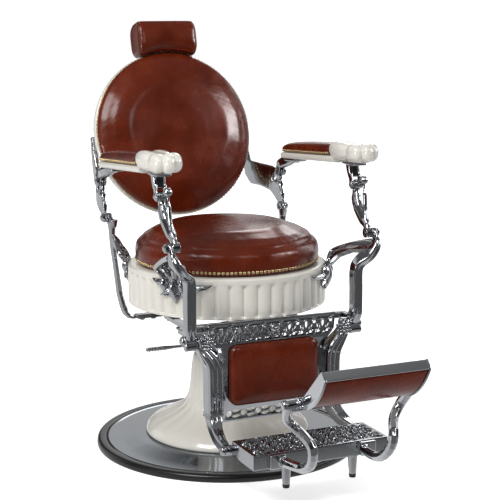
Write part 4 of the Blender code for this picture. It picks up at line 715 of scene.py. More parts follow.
def pebble(name: str, centre: Vector, size: Sequence[float], power: float, steps: int = 24) -> Object:
    """Model a rounded block between an ellipsoid and a box.

    Args:
        name: The piece's name.
        centre: Its middle.
        size: Its three half sizes.
        power: 2 gives an ellipsoid, and more gives fuller corners.
        steps: The number of points round it.

    Returns:
        The block.
    """
    stone = ball(name, Vector((0.0, 0.0, 0.0)), (1.0, 1.0, 1.0), None, steps)

    def fuller(point: Vector) -> Vector:
        """Push a point of the unit ball out to the block's surface."""
        norm = sum(abs(c) ** power for c in point) ** (1 / power)
        return centre + Vector([c / norm * half for c, half in zip(point, size)])

    return reshape(stone, fuller)


def swollen(obj: Object, amount: float, spare: Sequence[Vector], clear: float = 0.020) -> Object:
    """Thicken a casting everywhere but round its pivots.

    Args:
        obj: The casting.
        amount: How far its surface moves out.
        spare: The pivots' middles.
        clear: The radius round a pivot that stays as it is.

    Returns:
        The same object.
    """
    normals = [n.vector.copy() for n in obj.data.vertex_normals]
    for vert, normal in zip(obj.data.vertices, normals):
        near = min(math.hypot(vert.co.y - p.y, vert.co.z - p.z) for p in spare)
        share = min(1.0, max(0.0, (near - clear) / clear))
        vert.co += normal * (amount * share * share * (3 - 2 * share))
    obj.data.update()
    return obj


def leaf(name: str, spine: Sequence[Vector], width: float, thick: float, out: Vector) -> Object:
    """Model a pointed cast leaf with a raised midrib.

    Args:
        name: The piece's name.
        spine: Points along its middle, root first.
        width: Its greatest width.
        thick: Its greatest thickness.
        out: The way its face looks.

    Returns:
        The leaf.
    """
    path = [Vector(p) for p in catmull(spine, 14)]
    section = [(-0.5, 0.0), (-0.30, 0.20), (-0.10, 0.30), (0.0, 0.55), (0.10, 0.30), (0.30, 0.20), (0.5, 0.0),
               (0.25, -0.30), (0.0, -0.40), (-0.25, -0.30)]
    rings = []
    for k, point in enumerate(path):
        t = k / (len(path) - 1)
        tangent = (path[min(k + 1, len(path) - 1)] - path[max(k - 1, 0)]).normalized()
        side = tangent.cross(out).normalized()
        lift = side.cross(tangent).normalized()
        fullness = 0.10 + 0.90 * math.sin(math.pi * min(1.0, 0.06 + 0.94 * t) ** 0.72) ** 0.8
        rings.append([point + side * (u * width * fullness) + lift * (v * thick * (0.35 + 0.65 * fullness))
                      for u, v in section])
    return skin(name, rings)


def rosette(name: str, centre: Vector, facing: Vector, radius: float, petals: int = 8) -> Object:
    """Model a cast flower: a boss, a ring of round petals and a ring of pointed ones behind.

    Args:
        name: The piece's name.
        centre: Its middle.
        facing: The way it looks.
        radius: Its radius.
        petals: The number of petals in each ring.

    Returns:
        The flower.
    """
    out = facing.normalized()
    turn = out.to_track_quat("Z", "Y").to_matrix().to_4x4()
    pieces = [ball("boss", centre + out * (0.30 * radius), (0.26 * radius, 0.26 * radius, 0.24 * radius), turn, 12)]
    for ring, (reach, long, wide, tall, lift) in enumerate((
            (0.46, 0.27, 0.16, 0.17, 0.20), (0.78, 0.34, 0.20, 0.15, 0.06))):
        for k in range(petals):
            spin = turn @ Matrix.Rotation(math.tau * (k + 0.5 * ring) / petals, 4, "Z")
            place = centre + (spin @ Vector((reach * radius, 0.0, lift * radius)))
            tilt = spin @ Matrix.Rotation(-0.35, 4, "Y")
            pieces.append(ball("petal", place, (long * radius, wide * radius, tall * radius), tilt, 10))
    return softened(joined(name, pieces), 70.0)


def ribbed(ribs: int, depth: float, steps: int = 7) -> list[tuple[float, float]]:
    """Draw a bar's section with round ribs along its front.

    Args:
        ribs: The number of ribs.
        depth: How deep the grooves between them are, as a share of the section.
        steps: The number of points on each rib.

    Returns:
        Points inside a box of one by one.
    """
    front = []
    for rib in range(ribs):
        middle = 0.5 - (rib + 0.5) / ribs
        for k in range(steps):
            across = 0.96 * (1 - 2 * k / (steps - 1))
            front.append((middle + across / (2 * ribs), 0.5 - depth * (1 - math.sqrt(1 - across * across))))
    return front + [(-0.5, 0.22), (-0.5, -0.40), (-0.40, -0.5), (0.40, -0.5), (0.5, -0.40), (0.5, 0.22)]


def rounded_plan(half_x: float, half_y: float, corner: float, steps: int = 8) -> list[tuple[float, float]]:
    """Draw a rectangle with round corners.

    Args:
        half_x: Half its width.
        half_y: Half its height.
        corner: The corners' radius.
        steps: The number of steps round each corner.

    Returns:
        The outline's points.
    """
    points = []
    for turn, (cx, cy) in enumerate(((1, 1), (-1, 1), (-1, -1), (1, -1))):
        for k in range(steps + 1):
            angle = math.pi / 2 * (turn + k / steps)
            points.append((cx * (half_x - corner) + corner * math.cos(angle),
                           cy * (half_y - corner) + corner * math.sin(angle)))
    return points


def almond(x: float, y: float, turn: float, length: float, width: float, steps: int = 6) -> list[tuple[float, float]]:
    """Draw a pointed leaf opening.

    Args:
        x: Its middle across.
        y: Its middle up.
        turn: The way its length runs, in radians.
        length: Its length.
        width: Its greatest width.
        steps: The number of steps along each side.

    Returns:
        The outline's points.
    """
    side = [(length * (k / steps - 0.5), 0.5 * width * math.sin(math.pi * k / steps) ** 0.85) for k in range(steps + 1)]
    outline = side + [(u, -v) for u, v in side[-2:0:-1]]
    c, s = math.cos(turn), math.sin(turn)
    return [(x + c * u - s * v, y + s * u + c * v) for u, v in outline]


def round_hole(x: float, y: float, radius: float, steps: int = 16) -> list[tuple[float, float]]:
    """Draw a round opening."""
    return [(x + radius * math.cos(math.tau * k / steps), y + radius * math.sin(math.tau * k / steps))
            for k in range(steps)]


def scroll_height(x: float, y: float, pitch: float) -> float:
    """Give the height of a field of cast scrolls, from 0 to 1.

    Args:
        x: The place across.
        y: The place along.
        pitch: The scrolls' spacing.

    Returns:
        The height.
    """
    i, j = math.floor(x / pitch + 0.5), math.floor(y / pitch + 0.5)
    u, v = x / pitch - i, y / pitch - j
    hand = 1.0 if (i + j) % 2 else -1.0
    r, angle = 2.0 * math.hypot(u, v), math.atan2(v, u)
    spiral = 0.5 + 0.5 * math.cos(hand * angle - 9.5 * r ** 0.8 + 1.3 * i)
    inside = min(1.0, max(0.0, (1.04 - r) / 0.16))
    boss = math.exp(-(r / 0.17) ** 2)
    cu, cv = abs(u) - 0.5, abs(v) - 0.5
    corner = 2.0 * math.hypot(cu, cv)
    petals = (0.5 + 0.5 * math.cos(4 * math.atan2(cv, cu))) ** 0.6 * max(0.0, 1.0 - (corner / 0.52) ** 2)
    return max(spiral ** 1.3 * inside, boss, 0.85 * petals)


def joined(name: str, pieces: Iterable[Object]) -> Object:
    """Put several objects into one.

    Args:
        name: The new piece's name.
        pieces: The objects, which are removed.

    Returns:
        The joined object.
    """
    bm = bmesh.new()
    for piece in pieces:
        bm.from_mesh(piece.data)
        bpy.data.objects.remove(piece, do_unlink=True)
    return from_bmesh(name, bm, outward=False)


def cast(obj: Object, voxel: float, passes: int) -> Object:
    """Melt an object's solids into one casting with soft fillets.

    Args:
        obj: The object, which may hold several crossing solids.
        voxel: The size of the detail that is kept.
        passes: How often the surface is relaxed.

    Returns:
        The same object.
    """
    remesh = obj.modifiers.new("cast", "REMESH")
    remesh.mode = "VOXEL"
    remesh.voxel_size = voxel
    relax = obj.modifiers.new("relax", "SMOOTH")
    relax.factor, relax.iterations = 0.5, passes
    return softened(applied(obj), 60.0)


def recast(node: str, name: str, voxel: float, passes: int) -> Object:
    """Copy a CAD node's solid and melt it into a casting with soft fillets."""
    return cast(object_of(name, frame["nodes"][node].data.copy()), voxel, passes)


def mirrored(obj: Object, name: str) -> Object:
    """Copy an object to the chair's other side.

    Args:
        obj: The object.
        name: The copy's name.

    Returns:
        The copy.
    """
    bm = bmesh.new()
    bm.from_mesh(obj.data)
    bmesh.ops.scale(bm, vec=(-1.0, 1.0, 1.0), verts=bm.verts)
    bmesh.ops.reverse_faces(bm, faces=bm.faces)
    return from_bmesh(name, bm, outward=False)


def reshape(obj: Object, move: Callable[[Vector], Vector]) -> Object:
    """Move every vertex of an object by a rule.

    Args:
        obj: The object.
        move: Gives a vertex's new place.

    Returns:
        The same object.
    """
    for vert in obj.data.vertices:
        vert.co = move(vert.co.copy())
    obj.data.update()
    return obj


def stuffed(obj: Object, pressure: float, cap: float, voxel: float, held: Callable[[Vector], bool],
            frames: int = 20) -> Object:
    """Blow a pad up under its cover, as foam under leather.

    Args:
        obj: The pad, a little slacker than it ends.
        pressure: The push from inside.
        cap: The furthest that any point may move.
        voxel: The size of the cover's mesh.
        held: Says which points are nailed or glued down.
        frames: How many steps the blowing takes.

    Returns:
        The same object.
    """
    remesh = obj.modifiers.new("cover", "REMESH")
    remesh.mode = "VOXEL"
    remesh.voxel_size = voxel
    applied(obj)
    rest = [v.co.copy() for v in obj.data.vertices]
    pins = obj.vertex_groups.new(name="nailed")
    pins.add([i for i, p in enumerate(rest) if held(p)], 1.0, "REPLACE")
    cloth = obj.modifiers.new("cloth", "CLOTH")
    for key, value in (("quality", 4), ("mass", 0.4), ("use_pressure", True), ("uniform_pressure_force", pressure),
                       ("tension_stiffness", 25.0), ("compression_stiffness", 25.0), ("shear_stiffness", 12.0),
                       ("bending_stiffness", 4.0), ("vertex_group_mass", "nailed")):
        setattr(cloth.settings, key, value)
    cloth.settings.effector_weights.gravity = 0.0
    cloth.collision_settings.use_collision = False
    cloth.point_cache.frame_start, cloth.point_cache.frame_end = 1, frames
    scene = bpy.context.scene
    for step in range(1, frames + 1):
        scene.frame_set(step)
    applied(obj)
    scene.frame_set(1)
    obj.vertex_groups.clear()
    for vert, start, shift in zip(obj.data.vertices, rest, calmed(obj, rest, held)):
        vert.co = start + (shift * (cap / shift.length) if shift.length > cap else shift)
    relax = obj.modifiers.new("relax", "SMOOTH")
    relax.iterations = 3
    finer = obj.modifiers.new("finer", "SUBSURF")
    finer.levels = finer.render_levels = 1
    return softened(applied(obj), 70.0)


def calmed(obj: Object, rest: Sequence[Vector], held: Callable[[Vector], bool], rounds: int = 40,
           left: float = 0.10) -> list[Vector]:
    """Pull a blown cover taut: keep how far it swells, and a trace of its puckers.

    Args:
        obj: The blown pad.
        rest: Where its points were.
        held: Says which points are nailed or glued down.
        rounds: How far each point's shift is evened out, in mesh steps.
        left: The share of the puckers that stays.

    Returns:
        How far each point moves.
    """
    ends = np.array([tuple(edge.vertices) for edge in obj.data.edges])
    shifts = np.array([tuple(vert.co - start) for vert, start in zip(obj.data.vertices, rest)])
    loose = np.array([0.0 if held(start) else 1.0 for start in rest])[:, None]
    shares = np.bincount(ends.ravel(), minlength=len(rest))[:, None]
    even_shifts = shifts * loose
    for _ in range(rounds):
        sums = np.stack([np.bincount(ends[:, 0], even_shifts[ends[:, 1], axis], len(rest)) + np.bincount(
            ends[:, 1], even_shifts[ends[:, 0], axis], len(rest)) for axis in range(3)], axis=1)
        even_shifts = loose * sums / shares
    return [Vector(row) for row in even_shifts + left * (shifts * loose - even_shifts)]


def nail_heads(name: str, spots: Iterable[tuple[Vector, Vector]], radius: float) -> Object:
    """Drive a row of domed upholstery nails.

    Args:
        name: The piece's name.
        spots: Each nail's foot and the way it faces.
        radius: The heads' radius.

    Returns:
        All the heads as one object.
    """
    bm = bmesh.new()
    steps = 8
    for foot, facing in spots:
        facing = facing.normalized()
        side = facing.orthogonal().normalized()
        other = facing.cross(side)
        rings = []
        for share, rise in ((1.0, 0.0), (0.94, 0.30), (0.70, 0.58), (0.36, 0.74)):
            rings.append([bm.verts.new(foot + radius * (facing * rise + share * (side * math.cos(
                math.tau * i / steps) + other * math.sin(math.tau * i / steps)))) for i in range(steps)])
        crown = bm.verts.new(foot + facing * (0.80 * radius))
        for lower, upper in zip(rings, rings[1:]):
            for i in range(steps):
                bm.faces.new((lower[i], lower[(i + 1) % steps], upper[(i + 1) % steps], upper[i]))
        for i in range(steps):
            bm.faces.new((rings[-1][i], rings[-1][(i + 1) % steps], crown))
        bm.faces.new(rings[0][::-1])
    return softened(from_bmesh(name, bm), 80.0)


def dress(obj: Object, body: str, material: Material, stands_for: Sequence[str] = ()) -> Object:
    """Finish a piece and let it move with its body.

    Args:
        obj: The piece.
        body: The CAD body that it rides on.
        material: Its finish.
        stands_for: The CAD nodes that it replaces.

    Returns:
        The same piece.
    """
    obj.data.materials.clear()
    obj.data.materials.append(material)
    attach(obj, body)
    if stands_for:
        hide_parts(*stands_for)
    return obj


def nearest(obj: Object, points: Iterable[Vector], lift: float) -> list[tuple[Vector, Vector]]:
    """Lay points onto an object's surface.

    Args:
        obj: The object.
        points: The points.
        lift: How far above the surface they end.

    Returns:
        Each point on the surface and the way the surface faces there.
    """
    bm = bmesh.new()
    bm.from_mesh(obj.data)
    tree = BVHTree.FromBMesh(bm)
    bm.free()
    result = []
    for point in points:
        place, facing, _, _ = tree.find_nearest(point)
        result.append((place + facing * lift, facing))
    return result


def even(points: Sequence[Vector], pitch: float, closed: bool = True) -> list[Vector]:
    """Space points evenly along a line.

    Args:
        points: The line's points.
        pitch: The wanted spacing.
        closed: Whether the line closes on itself.

    Returns:
        Evenly spaced points.
    """
    line = list(points) + ([points[0]] if closed else [])
    lengths = [(b - a).length for a, b in zip(line, line[1:])]
    total = sum(lengths)
    count = max(2, round(total / pitch))
    wanted = [total * k / (count if closed else count - 1) for k in range(count)]
    result, k, run = [], 0, 0.0
    for target in wanted:
        while k < len(lengths) - 1 and run + lengths[k] < target:
            run += lengths[k]
            k += 1
        share = min(1.0, (target - run) / lengths[k]) if lengths[k] else 0.0
        result.append(line[k].lerp(line[k + 1], share))
    return result


def back_place() -> Matrix:
    """Find the backrest's own frame.

    Returns:
        A frame with X across, Y up the back and Z out of the leather, at the middle of the rim.
    """
    slide = next(joint["axis"] for joint in frame["joints"] if joint["name"] == "headrest_height")
    up = Vector(slide).normalized()
    turn = Matrix((ACROSS, up, ACROSS.cross(up))).transposed().to_4x4()
    low, high = local_box("back_cushion", turn)
    return Matrix.Translation(turn @ Vector(((low.x + high.x) / 2, (low.y + high.y) / 2, low.z))) @ turn


# ---- sub-assemblies
@dataclass
class Pedestal:
    """The rubber-edged base, its plated dish and the draped bell."""

    finishes: Finishes
    ring_width: float = 0.027
    flutes: int = 24
    flute_depth: float = 0.0042
    dish_floor: float = 0.0055

    def build(self) -> list[Object]:
        """Build and dress the pedestal.

        Returns:
            Its pieces.
        """
        _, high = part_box("base_ring")
        radius, height = high[0], high[2]
        inner = radius - self.ring_width
        ring = softened(lathe("rubber_edge", [
            (inner, 0.0008), (radius - 0.004, 0.0), (radius - 0.0012, 0.0010), (radius, 0.0040),
            (radius - 0.0003, 0.55 * height), (radius - 0.0015, 0.76 * height), (radius - 0.0045, 0.92 * height),
            (radius - 0.009, 0.985 * height), (radius - 0.014, height), (inner + 0.004, 0.985 * height),
            (inner + 0.001, 0.93 * height), (inner, 0.80 * height)], 192, hollow=True), 60.0)
        dress(ring, "base", self.finishes.rubber, ["base_ring"])
        return [ring, self.dish(inner - 0.0004), self.bell()]

    def dish(self, edge: float) -> Object:
        """Turn the shallow plated dish with its rolled edge.

        Args:
            edge: The dish's outer radius.

        Returns:
            The dish.
        """
        _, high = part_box("base_dish")
        top = high[2]
        dish = softened(lathe("base_dish_cover", [
            (0.0, self.dish_floor), *((edge - inset, z) for inset, z in (
                (0.004, self.dish_floor), (0.0, 0.010), (0.0, 0.0165), (0.0020, 0.0192), (0.0055, 0.0204),
                (0.0090, 0.0194), (0.0112, 0.0182), (0.0150, 0.0184), (0.045, 0.0232), (0.080, 0.0290),
                (0.100, top - 0.0012), (0.112, top))), (0.0, top)], 192), 50.0)
        return dress(dish, "base", self.finishes.dish_chrome, ["base_dish"])

    def bell(self) -> Object:
        """Model the bell, whose soft flutes run from a plain neck to a plain foot.

        Returns:
            The bell.
        """
        low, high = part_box("pedestal_bell")
        foot, rise = high[0], high[2] - low[2]
        outside = catmull([(share * foot, height * rise) for share, height in (
            (0.990, 0.0), (1.0, 0.018), (0.992, 0.050), (0.955, 0.098), (0.895, 0.142), (0.805, 0.186), (0.705, 0.232),
            (0.610, 0.284), (0.540, 0.340), (0.498, 0.400), (0.474, 0.470), (0.456, 0.570), (0.444, 0.700),
            (0.430, 0.840), (0.414, 0.935), (0.392, 0.985), (0.370, 1.0))], 80)

        def waved(r: float, z: float, angle: float) -> float:
            """Press the soft folds, which are deepest at the waist and die out at the foot's edge.

            Args:
                r: The plain radius.
                z: The height.
                angle: The way round.

            Returns:
                The pressed radius.
            """
            share = (z - low[2]) / rise
            crest = 0.5 + 0.5 * math.cos(angle * self.flutes)
            fade = min(1.0, max(0.0, (0.93 - share) / 0.10)) * min(1.0, max(0.0, (share - 0.015) / 0.16))
            depth = self.flute_depth * (0.42 + 0.58 * math.exp(-((share - 0.27) / 0.16) ** 2)) * fade
            return r - depth * (1.0 - crest) ** 1.6 * 0.8

        profile = [(r, low[2] + z) for r, z in outside]
        bell = lathe("draped_bell", profile, self.flutes * 14, waviness=waved)
        return dress(softened(bell, 70.0), "base", self.finishes.enamel, ["pedestal_bell"])


@dataclass
class PumpLever:
    """The plated foot lever with its grooved end."""

    finishes: Finishes
    grooves: int = 6
    groove_pitch: float = 0.0085

    def build(self) -> list[Object]:
        """Build and dress the lever.

        Returns:
            The lever.
        """
        low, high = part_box("pump_lever")
        z = (low[2] + high[2]) / 2
        depth = high[1] - low[1]
        tall = 0.78 * (high[2] - low[2])
        root, tip = high[0] - 0.012, low[0]
        stations = [(root, 0.0, z, depth * 0.9, tall * 0.8), (root - 0.020, 0.0, z, depth * 0.8, tall * 0.72),
                    (root + (tip - root) * 0.45, 0.0, z, depth * 0.72, tall * 0.66)]
        for k in range(self.grooves):
            x = tip + 0.052 - self.groove_pitch * k
            stations += [(x + 0.0016, 0.0, z, depth * 0.98, tall), (x - 0.0026, 0.0, z, depth * 0.98, tall),
                         (x - 0.0042, 0.0, z, depth * 0.80, tall * 0.80)]
        stations += [(tip + 0.002, 0.0, z, depth * 0.9, tall * 0.9), (tip, 0.0, z, depth * 0.5, tall * 0.5)]
        bar = swept("lever_bar", stations, superellipse(3.2, 20), 140, ALONG)
        eye = recast("pump_lever", "lever_eye", 0.9 * MM, 3)
        keep = joint_point("pump_lever").x - 0.012
        bm = bmesh.new()
        bm.from_mesh(eye.data)
        bmesh.ops.bisect_plane(bm, geom=bm.verts[:] + bm.edges[:] + bm.faces[:], plane_co=(keep, 0.0, 0.0),
                               plane_no=(-1.0, 0.0, 0.0), clear_outer=True)
        bm.to_mesh(eye.data)
        bm.free()
        lever = softened(joined("grooved_lever", [bar, eye]), 50.0)
        return [dress(lever, "lever", self.finishes.chrome, ["pump_lever"])]


@dataclass
class Seat:
    """The fluted enamel skirt and the round leather cushion with its nails."""

    finishes: Finishes
    flutes: int = 45
    flute_depth: float = 0.0088
    band: float = 0.0105
    nail_radius: float = 0.0047
    nail_pitch: float = 0.0118
    crease_drop: float = 0.036
    crease_depth: float = 0.0019

    def build(self) -> list[Object]:
        """Build and dress the seat's pieces."""
        cushion = self.cushion()
        return [self.skirt(), cushion, self.nails(cushion)]

    def skirt(self) -> Object:
        """Press the flutes into the enamelled skirt.

        Returns:
            The skirt.
        """
        low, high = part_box("seat_skirt")
        radius, bottom, top = high[0], low[2], high[2]
        flute_top = top - self.band
        half = math.pi * radius / self.flutes

        def fluted(r: float, z: float, angle: float) -> float:
            """Crown each flute, and run it out in a rounded end below the band.

            Args:
                r: The plain radius.
                z: The height.
                angle: The way round.

            Returns:
                The pressed radius.
            """
            if r < radius - 0.006:
                return r
            across = 2.0 * ((angle * self.flutes / math.tau) % 1.0) - 1.0
            arch = half * (1.0 - math.sqrt(max(0.0, 1.0 - across * across)))
            fade = min(1.0, max(0.0, (flute_top - 0.40 * arch - z) / 0.009))
            fade = fade * fade * (3 - 2 * fade) * min(1.0, max(0.0, (z - bottom - 0.003) / 0.004))
            groove = math.exp(-((1.0 - abs(across)) / 0.22) ** 2)
            return r - fade * self.flute_depth * (0.04 + 0.66 * across * across + 0.30 * groove)

        steps = 26
        profile = [(radius - inset, bottom + up) for inset, up in (
            (0.0060, 0.0004), (0.0025, 0.0), (0.0006, 0.0012), (0.0, 0.0035))]
        profile += [(radius, bottom + 0.0035 + (flute_top - bottom) * k / steps) for k in range(1, steps + 1)]
        profile.append((radius + 0.0001, flute_top + 0.006))
        profile += [(radius - inset, top - down) for inset, down in (
            (0.0002, 0.0130), (0.0010, 0.0085), (0.0028, 0.0045), (0.0058, 0.0014), (0.0095, 0.0002), (0.038, 0.0002),
            (0.038, 0.005), (0.010, 0.006))]
        profile.append((radius - 0.0095, bottom + 0.002))
        skirt = lathe("fluted_skirt", profile, self.flutes * 16, hollow=True, waviness=fluted)
        return dress(softened(skirt, 60.0), "seat", self.finishes.enamel, ["seat_skirt"])

    def cushion(self) -> Object:
        """Stuff the round cushion, and pull its top seam in.

        Returns:
            The cushion.
        """
        low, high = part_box("seat_cushion")
        radius, bottom, top = high[0] - 0.004, low[2], high[2] - 0.006
        body = lathe("seat_cushion_cover", [
            (0.0, bottom), (0.955 * radius, bottom), (0.985 * radius, bottom + 0.010), (0.998 * radius, bottom + 0.028),
            (radius, bottom + 0.043), (0.990 * radius, bottom + 0.058), (0.962 * radius, top - 0.0335),
            (0.912 * radius, top - 0.0210), (0.82 * radius, top - 0.0110), (0.62 * radius, top - 0.0040),
            (0.35 * radius, top - 0.0010), (0.0, top)], 96)
        foot = bottom + 0.012
        stuffed(body, 4.0, 0.012, 5.0 * MM, lambda p: p.z < foot)
        seam = top + 0.006 - self.crease_drop
        roll = 0.925 * radius
        seed = Vector((3.1, 0.7, 5.2))

        def sewn(point: Vector) -> Vector:
            """Draw the seam in, and gather the leather a little beside it and above the nails.

            Args:
                point: A point of the cover.

            Returns:
                Its place once the seam is sewn.
            """
            flat = Vector((point.x, point.y, 0.0))
            around = flat.length
            if around < 1e-6 or point.z < foot - 0.006:
                return point
            outward = flat / around
            angle = math.atan2(point.y, point.x)
            away = math.hypot((around - roll) * 0.55, point.z - seam) if around > 0.8 * radius else 1.0
            pull = self.crease_depth * math.exp(-(away / 0.0050) ** 2)
            gather = 0.0006 * math.exp(-(away / 0.022) ** 2) * noise.noise(seed + Vector((
                11.0 * math.cos(angle), 11.0 * math.sin(angle), point.z * 30.0)))
            broad = 0.0020 * noise.noise(seed + point * 11.0)
            return point + (outward * 0.75 + UP * 0.66) * (gather - pull) + outward * broad

        reshape(body, sewn)
        dress(softened(body, 80.0), "seat", self.finishes.leather, ["seat_cushion"])
        return body

    def nails(self, cushion: Object) -> Object:
        """Drive the brass nails round the cushion's foot.

        Args:
            cushion: The cushion.

        Returns:
            The nails.
        """
        low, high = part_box("seat_cushion")
        count = round(math.tau * high[0] / self.nail_pitch)
        spots = [Vector((x, y, low[2] + 0.0075)) for x, y in round_hole(0.0, 0.0, 1.02 * high[0], count)]
        nails = nail_heads("seat_nails", nearest(cushion, spots, -0.0004), self.nail_radius)
        return dress(nails, "seat", self.finishes.brass)


@dataclass
class Backrest:
    """The round back: an enamel shell, a domed leather pad and a row of nails."""

    finishes: Finishes
    nail_radius: float = 0.0043
    nail_pitch: float = 0.0110
    overhang: float = 0.0025

    def build(self) -> list[Object]:
        """Build and dress the backrest.

        Returns:
            Its pieces.
        """
        place = back_place()
        shell = self.shell(place)
        cushion = self.cushion(place)
        radius = local_box("back_cushion", place)[1].x
        count = round(math.tau * radius / self.nail_pitch)
        spots = [place @ Vector((x, y, 0.0075)) for x, y in round_hole(0.0, 0.0, 1.03 * radius, count)]
        nails = nail_heads("back_nails", nearest(cushion, spots, -0.0004), self.nail_radius)
        dress(nails, "back", self.finishes.brass)
        return [shell, cushion, nails]

    def shell(self, place: Matrix) -> Object:
        """Press the enamel shell, with its rolled rim and crowned rear.

        Args:
            place: The backrest's frame.

        Returns:
            The shell.
        """
        low, high = local_box("back_shell", place)
        r, d = high.x, -low.z - 0.014
        shell = lathe("enamel_shell", [
            *((r - inset, z) for inset, z in (
                (0.024, -0.0006), (0.010, -0.0002), (0.0055, -0.0006), (0.0025, -0.0020), (0.0006, -0.0048),
                (0.0, -0.0085), (0.0006, -0.0130), (0.0040, -0.5 * d), (0.0110, -0.67 * d), (0.0220, -0.82 * d),
                (0.0380, -0.93 * d))), (0.75 * r, -d), (0.58 * r, -d - 0.0058), (0.40 * r, -d - 0.0100),
            (0.20 * r, -d - 0.0130), (0.0, low.z)], 160)
        shell.data.transform(place)
        return dress(softened(shell, 60.0), "back", self.finishes.enamel, ["back_shell"])

    def cushion(self, place: Matrix) -> Object:
        """Stuff the domed pad.

        Args:
            place: The backrest's frame.

        Returns:
            The pad.
        """
        _, high = local_box("back_cushion", place)
        c, h = high.x + self.overhang, high.z - 0.004
        pad = lathe("back_pad_cover", [
            (0.0, 0.0), (0.975 * c, 0.0), (0.985 * c, 0.05 * h), (0.998 * c, 0.20 * h), (c, 0.32 * h),
            (0.985 * c, 0.46 * h), (0.93 * c, 0.63 * h), (0.82 * c, 0.79 * h), (0.62 * c, 0.91 * h),
            (0.34 * c, 0.98 * h), (0.0, h)], 96)
        pad.data.transform(place)
        inverse = place.inverted()
        stuffed(pad, 4.0, 0.010, 5.0 * MM, lambda p: (inverse @ p).z < 0.011)
        seed = Vector((1.4, 8.2, 2.9))

        def slack(point: Vector) -> Vector:
            """Let the leather lie in slow shallow waves.

            Args:
                point: A point of the cover.

            Returns:
                Its place in the waves.
            """
            local = inverse @ point
            if local.z < 0.012:
                return point
            return point + (place.to_3x3() @ UP) * (0.0016 * noise.noise(seed + local * 13.0))

        reshape(pad, slack)
        dress(softened(pad, 80.0), "back", self.finishes.leather, ["back_cushion"])
        return pad


@dataclass
class Headrest:
    """The leather neck cushion with its piped panels."""

    finishes: Finishes
    piping: float = 0.0019
    settle: float = 0.0035

    def build(self) -> list[Object]:
        """Build and dress the headrest.

        Returns:
            Its pieces.
        """
        place = back_place()
        inverse = place.inverted()
        low, high = local_box("headrest_cushion", place)
        pad = object_of("headrest_cover", frame["nodes"]["headrest_cushion"].data.copy())
        middle = place @ Vector((0.0, (low.y + high.y) / 2 + 0.010, 0.0))
        rise = place.to_3x3() @ ALONG
        reshape(pad, lambda p: middle + (p - middle) * 0.985 - rise * self.settle)
        stuffed(pad, 4.0, 0.006, 4.0 * MM, lambda p: (inverse @ p).z < low.z + 0.004)
        # round the pad: along its top, down one end, back along its hollow foot and up the other end
        edge, drop = high.x - 0.011, high.y - low.y - 0.020
        outline = [(edge * (1 - 2 * k / 24), high.y - 0.004) for k in range(25)]
        outline += [(-edge - 0.008, high.y - 0.004 - drop * k / 12) for k in range(1, 12)]
        for x in (-edge * (1 - 2 * k / 24) for k in range(25)):
            arc = math.sqrt((low.y + 0.004) ** 2 - x * x) if abs(x) < low.y else low.y
            outline.append((x, arc - 0.002 + (abs(x) / edge) ** 4 * 0.004))
        outline += [(edge + 0.008, low.y + 0.016 + drop * k / 12) for k in range(1, 12)]
        seams = []
        for out in (high.z - 0.006, low.z + 0.009):
            line = even([place @ Vector((x, y, out)) for x, y in outline], 0.004)
            seams.append(tube("seam", [p for p, _ in nearest(pad, line, 0.0)], self.piping, closed=True))
        piping = softened(joined("headrest_piping", seams), 80.0)
        dress(pad, "headrest", self.finishes.leather, ["headrest_cushion"])
        dress(piping, "headrest", self.finishes.leather)
        return [pad, piping]


